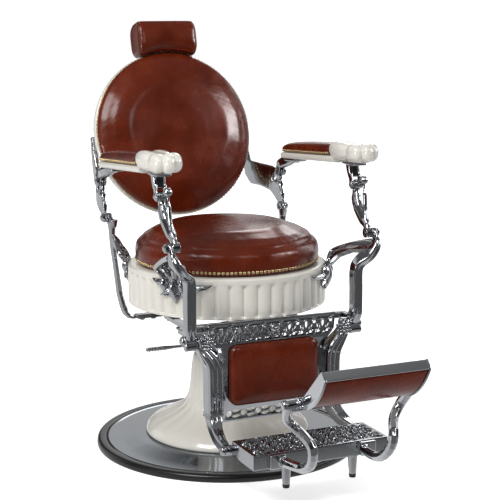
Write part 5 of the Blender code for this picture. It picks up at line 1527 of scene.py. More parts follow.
@dataclass
class Armrest:
    """One armrest: the enamelled body with its paw, and the nailed leather top."""

    finishes: Finishes
    side: Side
    nail_radius: float = 0.0042
    nail_pitch: float = 0.0112
    bar_height: float = 0.021

    def __post_init__(self) -> None:
        """Take the arm's place and width from its CAD nodes."""
        self.low, self.high = (Vector(c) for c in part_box(f"arm_body_{self.side.value}"))
        self.pad_low, self.pad_high = (Vector(c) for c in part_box(f"arm_pad_{self.side.value}"))
        self.x = (self.low.x + self.high.x) / 2
        self.width = self.pad_high.x - self.pad_low.x + 0.004

    def build(self) -> list[Object]:
        """Build and dress the armrest.

        Returns:
            Its pieces.
        """
        word, rider = self.side.value, f"arm_{self.side.value}"
        body = self.body()
        body.name = f"paw_arm_{word}"
        dress(body, rider, self.finishes.enamel, [f"arm_body_{word}"])
        pad = self.pad()
        pad.name = f"arm_leather_{word}"
        dress(pad, rider, self.finishes.leather, [f"arm_pad_{word}"])
        nails = self.nails(pad)
        nails.name = f"arm_nails_{word}"
        dress(nails, rider, self.finishes.brass)
        return [body, pad, nails]

    def floor(self, y: float) -> float:
        """Find the height of the body's underside, which climbs towards the front."""
        return joint_point(f"arm_{self.side.value}").z + 0.0605 - 0.0667 * y

    def body(self) -> Object:
        """Cast the body and its lobed paw in one.

        Returns:
            The body.
        """
        rear, step, tall = self.high.y, self.pad_low.y, self.bar_height
        stations = []
        for y, w, t in ((rear, 0.55, 0.55), (rear - 0.003, 0.84, 0.86), (rear - 0.010, 0.97, 1.0),
                        (rear - 0.030, 1.0, 1.0), (0.0, 1.0, 1.0), (step - 0.025, 0.96, 1.0)):
            stations.append((self.x, y, self.floor(y) + tall - t * tall / 2, w * self.width, t * tall))
        bar = swept("arm_bar", stations, superellipse(3.6, 40), 60)
        return cast(joined("paw_arm", [bar, *self.paw()]), 1.3 * MM, 3)

    def paw(self) -> list[Object]:
        """Model the paw: a core, two long side lobes and three toes round the front.

        Returns:
            The lobes.
        """
        x, half, nose, step, top = self.x, self.width / 2, self.low.y, self.pad_low.y, self.high.z
        under = self.floor(nose + 0.04) + 0.004
        mid, tall = (top + under) / 2, (top - under) / 2
        lobes = [pebble("core", Vector((x, (step + nose) / 2 + 0.004, mid - 0.002)),
                        (0.80 * half, (step - nose) / 2 - 0.008, 0.93 * tall), 3.0)]
        for out in (-1.0, 1.0):
            lobes.append(pebble("side_lobe", Vector((x + out * 0.56 * half, step - 0.058, mid - 0.001)),
                                (0.60 * half, 0.062, 0.96 * tall), 2.5))
            lobes.append(pebble("corner_toe", Vector((x + out * 0.64 * half, nose + 0.044, mid)),
                                (0.55 * half, 0.031, 0.98 * tall), 2.4))
        lobes.append(pebble("middle_toe", Vector((x, nose + 0.027, mid)), (0.50 * half, 0.027, tall), 2.4))
        return lobes

    def pad(self) -> Object:
        """Stuff the long leather top.

        Returns:
            The top.
        """
        front, rear = self.pad_low.y, self.pad_high.y
        stations = []
        for y, w, tall in ((rear - 0.001, 0.60, 0.010), (rear - 0.006, 0.88, 0.017), (rear - 0.016, 0.96, 0.022),
                           (rear - 0.050, 0.975, 0.0275), (0.01, 0.975, 0.0315), (front + 0.020, 0.96, 0.0325),
                           (front + 0.004, 0.90, 0.0300), (front, 0.80, 0.0250)):
            stations.append((self.x, y, self.floor(y) + self.bar_height + tall / 2, (self.width - 0.004) * w, tall))
        section = [(-0.5, -0.5), (0.5, -0.5), (0.5, -0.22), (0.49, 0.0), (0.455, 0.20), (0.38, 0.36), (0.26, 0.455),
                   (0.13, 0.49), (0.0, 0.5), (-0.13, 0.49), (-0.26, 0.455), (-0.38, 0.36), (-0.455, 0.20),
                   (-0.49, 0.0), (-0.5, -0.22)]
        pad = swept("arm_top", stations, section, 36)
        return stuffed(pad, 3.0, 0.003, 3.0 * MM, lambda p: p.z < self.floor(p.y) + self.bar_height + 0.006)

    def nails(self, pad: Object) -> Object:
        """Drive the nails along the leather's lower edge.

        Args:
            pad: The leather top.

        Returns:
            The nails.
        """
        x, half, front, rear = self.x, self.width / 2, self.pad_low.y, self.pad_high.y
        line = [Vector((x + half, front + 0.006, 0.0)), Vector((x + half, rear - 0.030, 0.0))]
        for k in range(1, 12):
            angle = math.pi * k / 12
            line.append(Vector((x + half * math.cos(angle), rear - 0.022 + 0.024 * math.sin(angle), 0.0)))
        line += [Vector((x - half, rear - 0.030, 0.0)), Vector((x - half, front + 0.006, 0.0))]
        spots = even(line, self.nail_pitch, closed=False)
        for p in spots:
            p.z = self.floor(p.y) + self.bar_height + 0.0040
        return nail_heads("arm_nails", nearest(pad, spots, -0.0003), self.nail_radius)


@dataclass
class FramePost:
    """A seat-frame post of the sitter's left: its casting, and the drape and leaf spray on the skirt."""

    turn: float = 52.5
    lengthwise: float = -1.0
    size: float = 1.0
    leaf_width: float = 0.017
    leaf_thick: float = 0.014

    def on_skirt(self, along: float, up: float, out: float) -> Vector:
        """Find a point beside the skirt.

        Args:
            along: The way round from the spray's middle, towards the chair's middle line.
            up: The height above the spray's middle.
            out: The distance from the skirt.

        Returns:
            The point.
        """
        _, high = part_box("seat_skirt")
        angle = math.radians(self.turn) - self.size * along / high[0]
        reach = high[0] + self.size * out
        return Vector((reach * math.sin(angle), self.lengthwise * reach * math.cos(angle),
                       high[2] - 0.0252 + self.size * up))

    def spray(self) -> list[Object]:
        """Model the spray: a pointed bud, two round buds with beads, and two wing leaves.

        Returns:
            Its parts.
        """
        out = Vector((math.sin(math.radians(self.turn)), self.lengthwise * math.cos(math.radians(self.turn)), 0.0))
        parts = []
        for along, tip, width, tall in ((0.0, 0.004, 0.029, 0.0415), (-0.0295, -0.0285, 0.026, 0.0180),
                                        (0.0245, 0.0220, 0.026, 0.0200)):
            stations = []
            for share, fullness, lean in ((0.0, 0.30, 0.0), (0.12, 0.66, 0.0), (0.30, 0.95, 0.0), (0.48, 1.0, 0.05),
                                          (0.66, 0.82, 0.25), (0.84, 0.46, 0.65), (1.0, 0.05, 1.0)):
                place = self.on_skirt(along + (tip - along) * lean, 0.026 - share * (0.026 + tall),
                                      0.0095 - 0.004 * lean)
                stations.append((*place, self.size * width * fullness, self.size * 0.8 * width * fullness))
            parts.append(swept("bud", stations, superellipse(2.0, 16), 24))
        for line in (((-0.028, 0.012, 0.005), (-0.048, 0.010, 0.007), (-0.062, 0.011, 0.006), (-0.0745, 0.0165, 0.004)),
                     ((0.026, 0.004, 0.005), (0.052, 0.001, 0.007), (0.080, 0.003, 0.006), (0.104, 0.011, 0.004))):
            spine = [self.on_skirt(*point) for point in line]
            parts.append(leaf("leaf", spine, self.size * self.leaf_width, self.size * self.leaf_thick, out))
        for along, up in ((-0.0275, -0.0175), (0.0215, -0.0205)):
            parts.append(ball("bead", self.on_skirt(along, up, 0.006), [0.0058 * self.size] * 3, None, 12))
        return parts

    def strands(self, start: Vector, width: float) -> list[Object]:
        """Model the strands that drape from the post to the buds.

        Args:
            start: Where they leave the post.
            width: Their greatest width.

        Returns:
            The strands.
        """
        strands = []
        for high, low, end in (((-0.040, 0.052, 0.026), (-0.035, 0.036, 0.017), (-0.028, 0.020, 0.010)),
                               ((-0.026, 0.060, 0.030), (-0.010, 0.040, 0.020), (0.0, 0.018, 0.011)),
                               ((-0.006, 0.064, 0.026), (0.016, 0.042, 0.017), (0.023, 0.022, 0.010))):
            first, second, last = self.on_skirt(*high), self.on_skirt(*low), self.on_skirt(*end)
            middle = start.lerp(first, 0.50) + UP * (0.004 * self.size)
            strands.append(swept("strand", [
                (*start, 0.80 * width, 0.90 * width), (*middle, 0.95 * width, 0.90 * width),
                (*first, width, 0.80 * width), (*second, 0.92 * width, 0.66 * width),
                (*last, 0.70 * width, 0.50 * width)], superellipse(2.2, 14), 28))
        return strands

    def front(self) -> Object:
        """Cast the front post.

        Returns:
            The post of the sitter's left.
        """
        eye, hinge = joint_point("link_left"), joint_point("legrest")
        _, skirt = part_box("seat_skirt")
        x, leg_x, leg_y = eye.x + 0.0163, skirt[0] - 0.0375, -(skirt[0] + 0.0385)
        leg = swept("leg", [
            (x, eye.y - 0.013, eye.z - 0.016, 0.013, 0.028), (x - 0.005, eye.y - 0.020, eye.z - 0.034, 0.021, 0.034),
            (x - 0.021, eye.y - 0.019, eye.z - 0.055, 0.025, 0.033),
            (leg_x + 0.010, leg_y - 0.004, eye.z - 0.074, 0.0265, 0.034),
            (leg_x, leg_y, eye.z - 0.097, 0.0275, 0.0330), (leg_x, leg_y, (eye.z + hinge.z) / 2 - 0.03, 0.0275, 0.0330),
            (leg_x, leg_y, hinge.z + 0.042, 0.0275, 0.0330), (leg_x, leg_y + 0.003, hinge.z + 0.028, 0.0275, 0.0345),
            (leg_x - 0.002, hinge.y, hinge.z + 0.010, 0.0265, 0.036)], ribbed(2, 0.16), 60)
        start = Vector((x + 0.001, eye.y + 0.002, eye.z - 0.024))
        casting = object_of("front_casting", frame["nodes"]["front_post_left"].data.copy())
        return cast(joined("front_casting", [casting, leg, *self.strands(start, 0.0185), *self.spray()]), 1.25 * MM, 2)

    def rear(self) -> Object:
        """Cast the rear post.

        Returns:
            The post of the sitter's left.
        """
        _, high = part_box("rear_post_left")
        top = joint_point("recline")
        x = high[0] - 0.013
        start = Vector((x - 0.002, top.y - 0.024, top.z - 0.050))
        casting = object_of("rear_casting", frame["nodes"]["rear_post_left"].data.copy())
        return cast(joined("rear_casting", [casting, *self.strands(start, 0.0165), *self.spray()]), 1.3 * MM, 2)


@dataclass
class Ironwork:
    """The plated castings of the seat frame, links, clevises and headrest."""

    finishes: Finishes
    fuller: float = 0.0034
    slim: float = 0.0010
    ball_from_eye: tuple[float, float, float] = (0.0, -0.043, 0.016)

    def link_top(self, word: str) -> Vector:
        """Find the middle of a front link's upper eye."""
        low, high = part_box(f"front_clevis_{word}")
        return Vector(((low[0] + high[0]) / 2, low[1] + 0.021, low[2] + 0.013))

    def build(self) -> list[Object]:
        """Melt the castings' hard corners, and dress them.

        Returns:
            The castings.
        """
        pieces = []
        for word in ("left", "right"):
            eye = self.link_top(word)
            pivots = [joint_point(j) for j in ("recline", f"link_{word}", f"arm_{word}", "legrest")]
            for kind in ("front_link", "back_bracket", "front_clevis", "rear_clevis"):
                node = f"{kind}_{word}"
                piece = recast(node, f"cast_{node}", 1.2 * MM, 3)
                # the clevis stays slim under the paw, and the ball keeps its size, so that they pass each other
                swollen(piece, self.slim if kind == "front_clevis" else self.fuller,
                        [*pivots, eye, eye + Vector(self.ball_from_eye)])
                pieces.append(dress(piece, body_with(node), self.finishes.chrome, [node]))
        for name, post in (("front_post", FramePost().front()),
                           ("rear_post", FramePost(turn=58.0, lengthwise=1.0, size=0.86).rear())):
            other = mirrored(post, f"cast_{name}_right")
            post.name = f"cast_{name}_left"
            for word, piece in (("left", post), ("right", softened(other, 60.0))):
                pieces.append(dress(piece, "seat", self.finishes.chrome, [f"{name}_{word}"]))
        mount = recast("headrest_mount", "cast_headrest_mount", 1.0 * MM, 2)
        pieces.append(dress(mount, "headrest", self.finishes.chrome, ["headrest_mount"]))
        return pieces


@dataclass
class Legrest:
    """The hanging legrest: side castings, pierced panel, calf pad, platform and tread."""

    finishes: Finishes
    fan_pitch: float = 0.0490
    ring_pitch: float = 0.0420
    scroll_pitch: float = 0.0330
    tread_reach: float = 0.0135
    tread_step: float = 0.0013
    tread_relief: float = 0.0046

    def build(self) -> list[Object]:
        """Build and dress the legrest.

        Returns:
            Its pieces.
        """
        pieces = []
        rail = self.rail()
        for word, casting in (("right", softened(mirrored(rail, "cast_rail_right"), 40.0)), ("left", rail)):
            pieces.append(dress(casting, "legrest", self.finishes.chrome, [f"legrest_rail_{word}"]))
            foot_arm = recast(f"foot_arm_{word}", f"bent_foot_arm_{word}", 1.1 * MM, 5)
            pieces.append(dress(foot_arm, "legrest", self.finishes.bright_chrome, [f"foot_arm_{word}"]))
        platform = recast("foot_platform", "cast_platform", 1.5 * MM, 5)
        pieces.append(dress(platform, "legrest", self.finishes.chrome, ["foot_platform"]))
        pieces += [self.web(), self.tread(), self.calf_pad()]
        return pieces

    def rail(self) -> Object:
        """Cast the left rail, with ribs down its front and a flower on its shoulder.

        Returns:
            The rail.
        """
        low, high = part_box("legrest_rail_left")
        hinge = joint_point("legrest")
        shoulder, x, y, z = high[0] - 0.0095, low[0] + 0.0197, hinge.y + 0.001, hinge.z
        foot_y, foot_z = low[1] + 0.0135, low[2] + 0.0135
        bar = swept("ribbed_rail", [
            (shoulder - 0.003, y, z - 0.014, 0.022, 0.032), (shoulder - 0.007, y, z - 0.024, 0.027, 0.036),
            (x + 0.019, y, z - 0.043, 0.034, 0.043), (x + 0.004, y, z - 0.066, 0.0405, 0.0480),
            (x, y, z - 0.098, 0.0405, 0.0480), (x, y, z - 0.168, 0.0405, 0.0480),
            (x, y - 0.001, z - 0.193, 0.0405, 0.0450),
            (x + 0.0015, y - 0.009, z - 0.215, 0.0355, 0.0400), (x + 0.007, y - 0.035, z - 0.238, 0.0295, 0.0325),
            (x + 0.013, y - 0.075, z - 0.252, 0.0255, 0.0285), (x + 0.019, foot_y + 0.014, foot_z, 0.0195, 0.0235)],
            ribbed(3, 0.13), 90)
        casting = recast("legrest_rail_left", "rail_casting", 1.4 * MM, 3)
        flower = rosette("flower", Vector((shoulder - 0.014, hinge.y - 0.0225, z - 0.004)), Vector((-0.10, -1.0, 0.30)),
                         0.0215)
        return softened(joined("cast_rail_left", [bar, casting, flower]), 40.0)

    def web(self) -> Object:
        """Pierce the panel: fans of leaves above the pad, and rings and almonds below it.

        Returns:
            The panel.
        """
        low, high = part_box("legrest_web")
        hinge = joint_point("legrest")
        wide, top, foot = high[0], high[2] - hinge.z, low[2] - hinge.z
        inner = wide - 0.034
        flare = [(inner, -0.052), (inner + 0.012, -0.030), (inner + 0.030, -0.008), (wide, top)]
        outlines = [[(-inner, foot), (inner, foot)] + flare + [(-u, v) for u, v in reversed(flare)]]
        for fan in range(-3, 4):
            x = fan * self.fan_pitch
            for degrees, reach, length in ((-66, 0.0165, 0.0165), (-34, 0.0225, 0.0220), (0, 0.0270, 0.0240),
                                           (34, 0.0225, 0.0220), (66, 0.0165, 0.0165)):
                turn = math.radians(degrees)
                outlines.append(almond(x + reach * math.sin(turn), -0.0175 + reach * math.cos(turn),
                                       math.pi / 2 - turn, length, 0.0088))
        for gap in range(-4, 4):
            x = (gap + 0.5) * self.fan_pitch
            if abs(x) < wide - 0.012:
                outlines.append(round_hole(x, 0.0150, 0.0052))
                outlines.append(almond(x, 0.0265, 0.0, 0.018, 0.0066))
        strip = foot + 0.0195
        for ring in range(-3, 4):
            x = ring * self.ring_pitch
            outlines.append(round_hole(x, strip, 0.0082))
            if ring < 3:
                for side in (1.0, -1.0):
                    outlines.append(almond(x + self.ring_pitch / 2, strip + side * 0.0072, 0.0, 0.0265, 0.0092))
        place = Matrix.Translation((0.0, (low[1] + high[1]) / 2, hinge.z)) @ Matrix.Rotation(math.pi / 2, 4, "X")
        panel = pierced("pierced_panel", outlines, high[1] - low[1], place, 1.0 * MM)
        face = low[1]
        stems = []
        for wave in (1.0, -1.0):
            line = [Vector((wide * 0.94 * (k / 60 - 1), face, hinge.z + 0.002 + wave * 0.0195 * math.cos(
                math.pi * k / 60 * (2 * wide * 0.94) / self.fan_pitch))) for k in range(121)]
            stems.append(tube("stem", line, 1.7 * MM))
        middle = Vector((0.0, face - 0.001, hinge.z + 0.004))
        stems.append(rosette("middle", middle, Vector((0.0, -1.0, 0.0)), 0.0165, petals=7))
        web = softened(joined("pierced_web", [panel, *stems]), 35.0)
        return dress(web, "legrest", self.finishes.chrome, ["legrest_web"])

    def tread(self) -> Object:
        """Cast the tread's dense scrolls.

        Returns:
            The tread.
        """
        low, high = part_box("platform_tread")
        _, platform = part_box("foot_platform")
        half_x, half_y = high[0] + self.tread_reach, (high[1] - low[1]) / 2 + self.tread_reach
        mid_y, top = (low[1] + high[1]) / 2, platform[2]
        across, along = round(2 * half_x / self.tread_step), round(2 * half_y / self.tread_step)
        bm = bmesh.new()
        grid = []
        for j in range(along + 1):
            row = []
            for i in range(across + 1):
                x, y = half_x * (2 * i / across - 1), half_y * (2 * j / along - 1)
                edge = min(1.0, max(0.0, (min(half_x - abs(x), half_y - abs(y)) - 0.002) / 0.003))
                z = top - 0.0012 + self.tread_relief * edge * scroll_height(x, y, self.scroll_pitch)
                row.append(bm.verts.new((x, mid_y + y, z)))
            grid.append(row)
        for lower, upper in zip(grid, grid[1:]):
            for i in range(across):
                bm.faces.new((lower[i], lower[i + 1], upper[i + 1], upper[i]))
        rim = grid[0][:-1] + [row[-1] for row in grid[:-1]] + grid[-1][:0:-1] + [row[0] for row in grid[:0:-1]]
        foot = [bm.verts.new((v.co.x, v.co.y, top - 0.0030)) for v in rim]
        for k in range(len(rim)):
            n = (k + 1) % len(rim)
            bm.faces.new((rim[k], foot[k], foot[n], rim[n]))
        bm.faces.new(foot)
        tread = softened(from_bmesh("scrolled_tread", bm), 50.0)
        return dress(tread, "legrest", self.finishes.scroll_chrome, ["platform_tread"])

    def calf_pad(self) -> Object:
        """Stuff the calf pad.

        Returns:
            The pad.
        """
        low, high = (Vector(c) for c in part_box("calf_pad"))
        middle, deep = (low + high) / 2, high.y - low.y
        rings = []
        for share, inset in ((0.0, 0.001), (0.10, 0.0), (0.32, 0.0), (0.50, 0.0022), (0.64, 0.0070), (0.74, 0.0160),
                             (0.80, 0.0300)):
            plan = rounded_plan((high.x - low.x) / 2 - inset, (high.z - low.z) / 2 - inset,
                                max(0.006, 0.0235 - 0.5 * inset))
            rings.append([Vector((middle.x + u, high.y - share * deep, middle.z + v)) for u, v in plan])
        pad = skin("calf_cover", rings)
        stuffed(pad, 4.0, 0.005, 4.0 * MM, lambda p: p.y > high.y - 0.006)
        dress(pad, "legrest", self.finishes.leather, ["calf_pad"])
        return pad


@dataclass
class Footboard:
    """The tilting footboard: bowed end plates, a back and top plate, and a leather roll between them."""

    finishes: Finishes
    slope: float = 43.5
    plate: float = 0.0055
    back: float = 0.0045
    # the bowed edge, as the way up the board and the way out of the leather
    bow: tuple[tuple[float, float], ...] = (
        (0.1500, 0.0255), (0.1300, 0.0325), (0.1050, 0.0380), (0.0800, 0.0400), (0.0550, 0.0385), (0.0350, 0.0335),
        (0.0180, 0.0240), (0.0020, 0.0155), (-0.0110, 0.0075))

    def build(self) -> list[Object]:
        """Build and dress the footboard.

        Returns:
            Its pieces.
        """
        place = self.place()
        _, high = local_box("footboard_tray", place)
        across_first = place @ Matrix((UP, ACROSS, ALONG)).to_4x4()
        bow = [(v, w) for v, w, *_ in catmull(self.bow, 40)]
        heel = [(-0.0135, 0.0), (-0.0100, -0.0085), (-0.0020, -0.0120), (0.0090, -0.0100), (0.0200, -0.0020),
                (0.0300, 0.0)]
        plates = []
        for side in (1.0, -1.0):
            shift = Matrix.Translation((0.0, 0.0, side * (high.x - self.plate / 2)))
            outline = [(high.y, 0.0)] + bow + heel
            plates.append(pierced("end_plate", [outline], self.plate, across_first @ shift, 1.2 * MM))
            hub = place @ Vector((side * (high.x + 0.001), 0.0, 0.0))
            plates.append(rosette("hub", hub, Vector((side, 0.0, 0.0)), 0.0150))
        inside = high.x - self.plate + 0.001
        for name, v, w, tall, deep in (("back_plate", (0.024 + high.y) / 2, self.back / 2, high.y - 0.026, self.back),
                                       ("top_plate", high.y - 0.0025, 0.0130, 0.0050, 0.0250)):
            middle = place @ Vector((0.0, v, w))
            ends = [middle + place.to_3x3() @ (x * ACROSS) for x in (-inside, -0.5 * inside, 0.5 * inside, inside)]
            section = superellipse(8.0, 28)
            up, out = place.to_3x3() @ ALONG, place.to_3x3() @ UP
            plates.append(skin(name, [[end + up * (a * tall) + out * (b * deep) for a, b in section] for end in ends]))
        tray = softened(joined("bowed_tray", plates), 40.0)
        dress(tray, "footboard", self.finishes.bright_chrome, ["footboard_tray"])
        return [tray, self.leather(place, bow, high, inside)]

    def place(self) -> Matrix:
        """Find the board's own frame.

        Returns:
            A frame with X across, Y up the board and Z out of the leather, on the hinge.
        """
        tilt = math.radians(self.slope)
        up = Vector((0.0, -math.cos(tilt), math.sin(tilt)))
        turn = Matrix((ACROSS, up, ACROSS.cross(up))).transposed().to_4x4()
        return Matrix.Translation(joint_point("footboard")) @ turn

    def leather(self, place: Matrix, bow: Sequence[tuple[float, float]], high: Vector, inside: float) -> Object:
        """Stuff the leather roll.

        Args:
            place: The board's frame.
            bow: The end plates' bowed edge.
            high: The tray's highest corner in that frame.
            inside: Half the room between the end plates.

        Returns:
            The leather.
        """
        front = [(v, w - 0.0020) for v, w in bow if 0.020 < v < high.y - 0.006]
        outline = [(high.y - 0.0055, self.back + 0.0005)] + front + [(0.0235, self.back + 0.0005)]
        rings = []
        for k in range(25):
            x = (inside - 0.0012) * (2 * k / 24 - 1)
            rings.append([place @ Vector((x, v, w)) for v, w in outline])
        roll = skin("foot_roll", rings)
        inverse = place.inverted()
        stuffed(roll, 3.0, 0.0025, 4.0 * MM, lambda p: abs(p.x) > inside - 0.008 or (inverse @ p).z < self.back + 0.003)
        dress(roll, "footboard", self.finishes.leather, ["footboard_pad"])
        return roll


@dataclass
class CarriedOver:
    """The plain CAD nodes whose shape is right, which only need their finish."""

    finishes: Finishes

    def build(self) -> list[Object]:
        """Give each CAD node the finish of its slot.

        Returns:
            The nodes.
        """
        nodes = frame["nodes"]
        for node in nodes.values():
            name = node.data.materials[0].name.split(".")[0] if node.data.materials else "chrome"
            slot = next((s for s in Slot if s.value == name), Slot.CHROME)
            node.data.materials.clear()
            node.data.materials.append(self.finishes.slots[slot])
            for polygon in node.data.polygons:
                polygon.material_index = 0
        return list(nodes.values())


# ---- studio
@dataclass
class Studio:
    """A white cove, soft lamps and the camera."""

    floor_half: float = 9.0
    white: str = "#FAFAFA"
    ambient: float = 0.30
    card_glow: float = 0.60
    dim: float = 0.14
    shadow_reach: float = 0.75
    box_spread: float = 34.0
    lens_mm: float = 97.64
    eye: tuple[float, float, float] = (-1.487, -3.419, 1.235)
    sight: tuple[float, float, float] = (0.408, 0.895, -0.181)
    # where the room's walls change, as a share of a full turn from behind the sitter's right, and how bright they are
    strips: tuple[tuple[float, float], ...] = (
        (0.010, 0.95), (0.022, 0.05), (0.085, 0.03), (0.092, 0.95), (0.112, 0.95), (0.120, 0.03), (0.222, 0.02),
        (0.230, 0.50), (0.246, 0.50), (0.254, 0.02), (0.345, 0.04), (0.352, 1.00), (0.378, 1.00), (0.388, 0.05),
        (0.470, 0.07), (0.490, 0.95), (0.515, 0.95), (0.530, 3.4), (0.560, 3.4), (0.575, 0.10), (0.625, 0.10),
        (0.645, 0.95), (0.715, 0.95), (0.730, 0.10), (0.800, 0.10), (0.815, 0.95), (0.880, 0.95), (0.895, 0.10),
        (0.960, 0.10), (0.975, 0.95))

    def build(self) -> list[Object]:
        """Set up the floor, the world, the lamps and the camera.

        Returns:
            The floor.
        """
        self.world()
        for name, place, aim, size, watts in (
                ("key", (-2.5, -1.5, 3.3), (0.0, 0.0, 0.7), 1.5, 99.0),
                ("fill", (3.0, -2.3, 2.5), (0.0, 0.0, 0.6), 1.1, 17.0),
                ("front", (0.1, -3.0, 2.7), (0.0, 0.2, 0.8), 0.9, 9.0),
                ("rim", (1.8, 2.4, 2.4), (0.0, 0.2, 0.7), 1.4, 26.0)):
            self.lamp(name, Vector(place), Vector(aim), size, watts)
        # soft boxes that only polished hide and metal pick up, as long soft highlights
        for name, place, aim, size, watts in (
                ("side_box", (2.9, -1.2, 2.1), (0.0, 0.33, 1.0), 1.3, 5.0),
                ("low_box", (-3.0, -1.2, 0.9), (0.0, 0.33, 0.9), 0.55, 1.2)):
            box = self.lamp(name, Vector(place), Vector(aim), size, watts)
            box.data.spread = math.radians(self.box_spread)
            box.visible_diffuse = False
        self.camera()
        return [self.floor()]

    def floor(self) -> Object:
        """Lay the white floor, which keeps the chair's shadow.

        Returns:
            The floor.
        """
        h = self.floor_half
        bm = bmesh.new()
        bm.faces.new([bm.verts.new(p) for p in ((-h, -h, 0.0), (h, -h, 0.0), (h, h, 0.0), (-h, h, 0.0))])
        floor = from_bmesh("studio_floor", bm)
        material, tree, shader, place = blank_material("matt_card", {
            "Base Color": srgb(self.white), "Roughness": 0.9, "Specular IOR Level": 0.0})
        path = add_node(tree, "ShaderNodeLightPath")
        # the card is lit from below, fully so away from the chair, where it meets the white room
        away = add_node(tree, "ShaderNodeVectorMath", {"operation": "LENGTH"}, {0: place})
        lit = add_node(tree, "ShaderNodeMapRange", {"From Min": self.shadow_reach, "From Max": 2.2 * self.shadow_reach,
                                                    "To Min": self.card_glow, "To Max": 1.0},
                       {"Value": away.outputs["Value"]})
        glow = add_node(tree, "ShaderNodeEmission", {"Color": WHITE}, {"Strength": lit.outputs["Result"]})
        both = add_node(tree, "ShaderNodeAddShader", links={0: shader.outputs["BSDF"], 1: glow.outputs["Emission"]})
        # polished metal sees the card too, but in front of the chair the card ends and the room is dim
        axes = add_node(tree, "ShaderNodeSeparateXYZ", links={"Vector": place})
        front = add_node(tree, "ShaderNodeMapRange", {"From Min": -1.02, "From Max": -0.52, "To Min": self.dim,
                                                      "To Max": 0.80}, {"Value": axes.outputs["Y"]})
        mirrored_card = add_node(tree, "ShaderNodeEmission", {"Color": WHITE}, {"Strength": front.outputs["Result"]})
        mirrored = add_node(tree, "ShaderNodeMixShader", links={
            0: path.outputs["Is Glossy Ray"], 1: shader.outputs["BSDF"], 2: mirrored_card.outputs["Emission"]})
        seen = add_node(tree, "ShaderNodeMixShader", links={
            0: path.outputs["Is Camera Ray"], 1: mirrored.outputs["Shader"], 2: both.outputs["Shader"]})
        tree.links.new(seen.outputs["Shader"], tree.nodes["Material Output"].inputs["Surface"])
        floor.data.materials.append(material)
        return floor

    def world(self) -> None:
        """Fill the room with white, and light the chair at a plain level."""
        world = bpy.data.worlds.new("white_room")
        bpy.context.scene.world = world
        world.use_nodes = True
        tree = world.node_tree
        tree.nodes.clear()
        path = add_node(tree, "ShaderNodeLightPath")
        seen = add_node(tree, "ShaderNodeMath", {"operation": "MAXIMUM"},
                        {0: path.outputs["Is Camera Ray"], 1: path.outputs["Is Transmission Ray"]})
        white = add_node(tree, "ShaderNodeBackground", {"Color": WHITE, "Strength": 1.0})
        ambient = add_node(tree, "ShaderNodeBackground", {"Color": (0.97, 0.98, 1.0, 1.0), "Strength": self.ambient})
        # bright metal sees the white room behind, and a dim room with upright strip boxes in front
        coords = add_node(tree, "ShaderNodeTexCoord")
        axes = add_node(tree, "ShaderNodeSeparateXYZ", links={"Vector": coords.outputs["Generated"]})
        turn = add_node(tree, "ShaderNodeTexGradient", {"gradient_type": "RADIAL"},
                        {"Vector": coords.outputs["Generated"]})
        walls = add_node(tree, "ShaderNodeValToRGB", links={"Fac": turn.outputs["Fac"]})
        stops = walls.color_ramp.elements
        for stop in stops:
            stop.color = (0.95, 0.95, 0.95, 1.0)
        for place, level in self.strips:
            stop = stops.new(place)
            stop.color = (level, level, level, 1.0)
        # the ceiling: dim above the walls, with a wide soft box straight up
        height = add_node(tree, "ShaderNodeValToRGB", links={"Fac": axes.outputs["Z"]})
        for stop, place, level in zip(height.color_ramp.elements, (0.45, 0.60), (0.0, 1.0)):
            stop.position, stop.color = place, (level, level, level, 1.0)
        box = add_node(tree, "ShaderNodeMapRange", {"From Min": 0.80, "From Max": 0.86, "To Min": 0.16,
                                                    "To Max": 0.26}, {"Value": axes.outputs["Z"]})
        room = add_node(tree, "ShaderNodeMix", {"data_type": "FLOAT"}, {"Factor": height.outputs["Color"]})
        # the white room falls off a little towards the floor
        low = add_node(tree, "ShaderNodeMapRange", {"From Min": 0.05, "From Max": 0.40, "To Min": 0.62, "To Max": 1.0},
                       {"Value": axes.outputs["Z"]})
        lower = add_node(tree, "ShaderNodeMath", {"operation": "MULTIPLY"},
                         {0: walls.outputs["Color"], 1: low.outputs["Result"]})
        tree.links.new(lower.outputs["Value"], room.inputs[2])
        tree.links.new(box.outputs["Result"], room.inputs[3])
        mirrored_room = add_node(tree, "ShaderNodeBackground", {"Color": WHITE}, {"Strength": room.outputs[0]})
        glossy = add_node(tree, "ShaderNodeMixShader", links={"Fac": path.outputs["Is Glossy Ray"]})
        tree.links.new(ambient.outputs["Background"], glossy.inputs[1])
        tree.links.new(mirrored_room.outputs["Background"], glossy.inputs[2])
        mix = add_node(tree, "ShaderNodeMixShader", links={"Fac": seen.outputs["Value"]})
        tree.links.new(glossy.outputs["Shader"], mix.inputs[1])
        tree.links.new(white.outputs["Background"], mix.inputs[2])
        output = add_node(tree, "ShaderNodeOutputWorld")
        tree.links.new(mix.outputs["Shader"], output.inputs["Surface"])

    def lamp(self, name: str, place: Vector, aim: Vector, size: float, watts: float) -> Object:
        """Hang a soft square lamp of white light.

        Args:
            name: The lamp's name.
            place: Where it hangs.
            aim: What it points at.
            size: Its side.
            watts: Its power.

        Returns:
            The lamp.
        """
        light = bpy.data.lights.new(name, "AREA")
        light.size, light.energy = size, watts
        lamp = object_of(name, light)
        lamp.location = place
        lamp.rotation_euler = (aim - place).to_track_quat("-Z", "Y").to_euler()
        return lamp

    def camera(self) -> None:
        """Place the camera at standing height, in front and to the sitter's right."""
        lens = bpy.data.cameras.new("camera")
        lens.sensor_width = 36.0
        lens.lens = self.lens_mm
        lens.dof.use_dof = False
        eye = object_of("camera", lens)
        forward = Vector(self.sight).normalized()
        right = forward.cross(UP).normalized()
        up = right.cross(forward)
        eye.matrix_world = Matrix.Translation(self.eye) @ Matrix((right, up, -forward)).transposed().to_4x4()
        bpy.context.scene.camera = eye


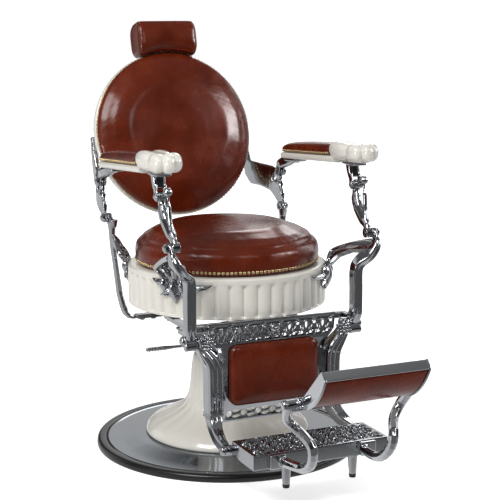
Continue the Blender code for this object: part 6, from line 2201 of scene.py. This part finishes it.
def main() -> None:
    """Dress the chair, part by part, and set up the studio."""
    logging.basicConfig(level=logging.INFO, format="%(name)s: %(message)s")
    scene = bpy.context.scene
    scene.view_settings.view_transform = "Standard"
    finishes = Finishes()
    parts = [CarriedOver(finishes), Pedestal(finishes), PumpLever(finishes), Seat(finishes), Backrest(finishes),
             Headrest(finishes), Armrest(finishes, Side.LEFT), Armrest(finishes, Side.RIGHT), Ironwork(finishes),
             Legrest(finishes), Footboard(finishes), Studio()]
    for part in parts:
        for piece in part.build():
            LOG.info("%s: %s", type(part).__name__, piece.name)


if __name__ == "__main__":
    main()
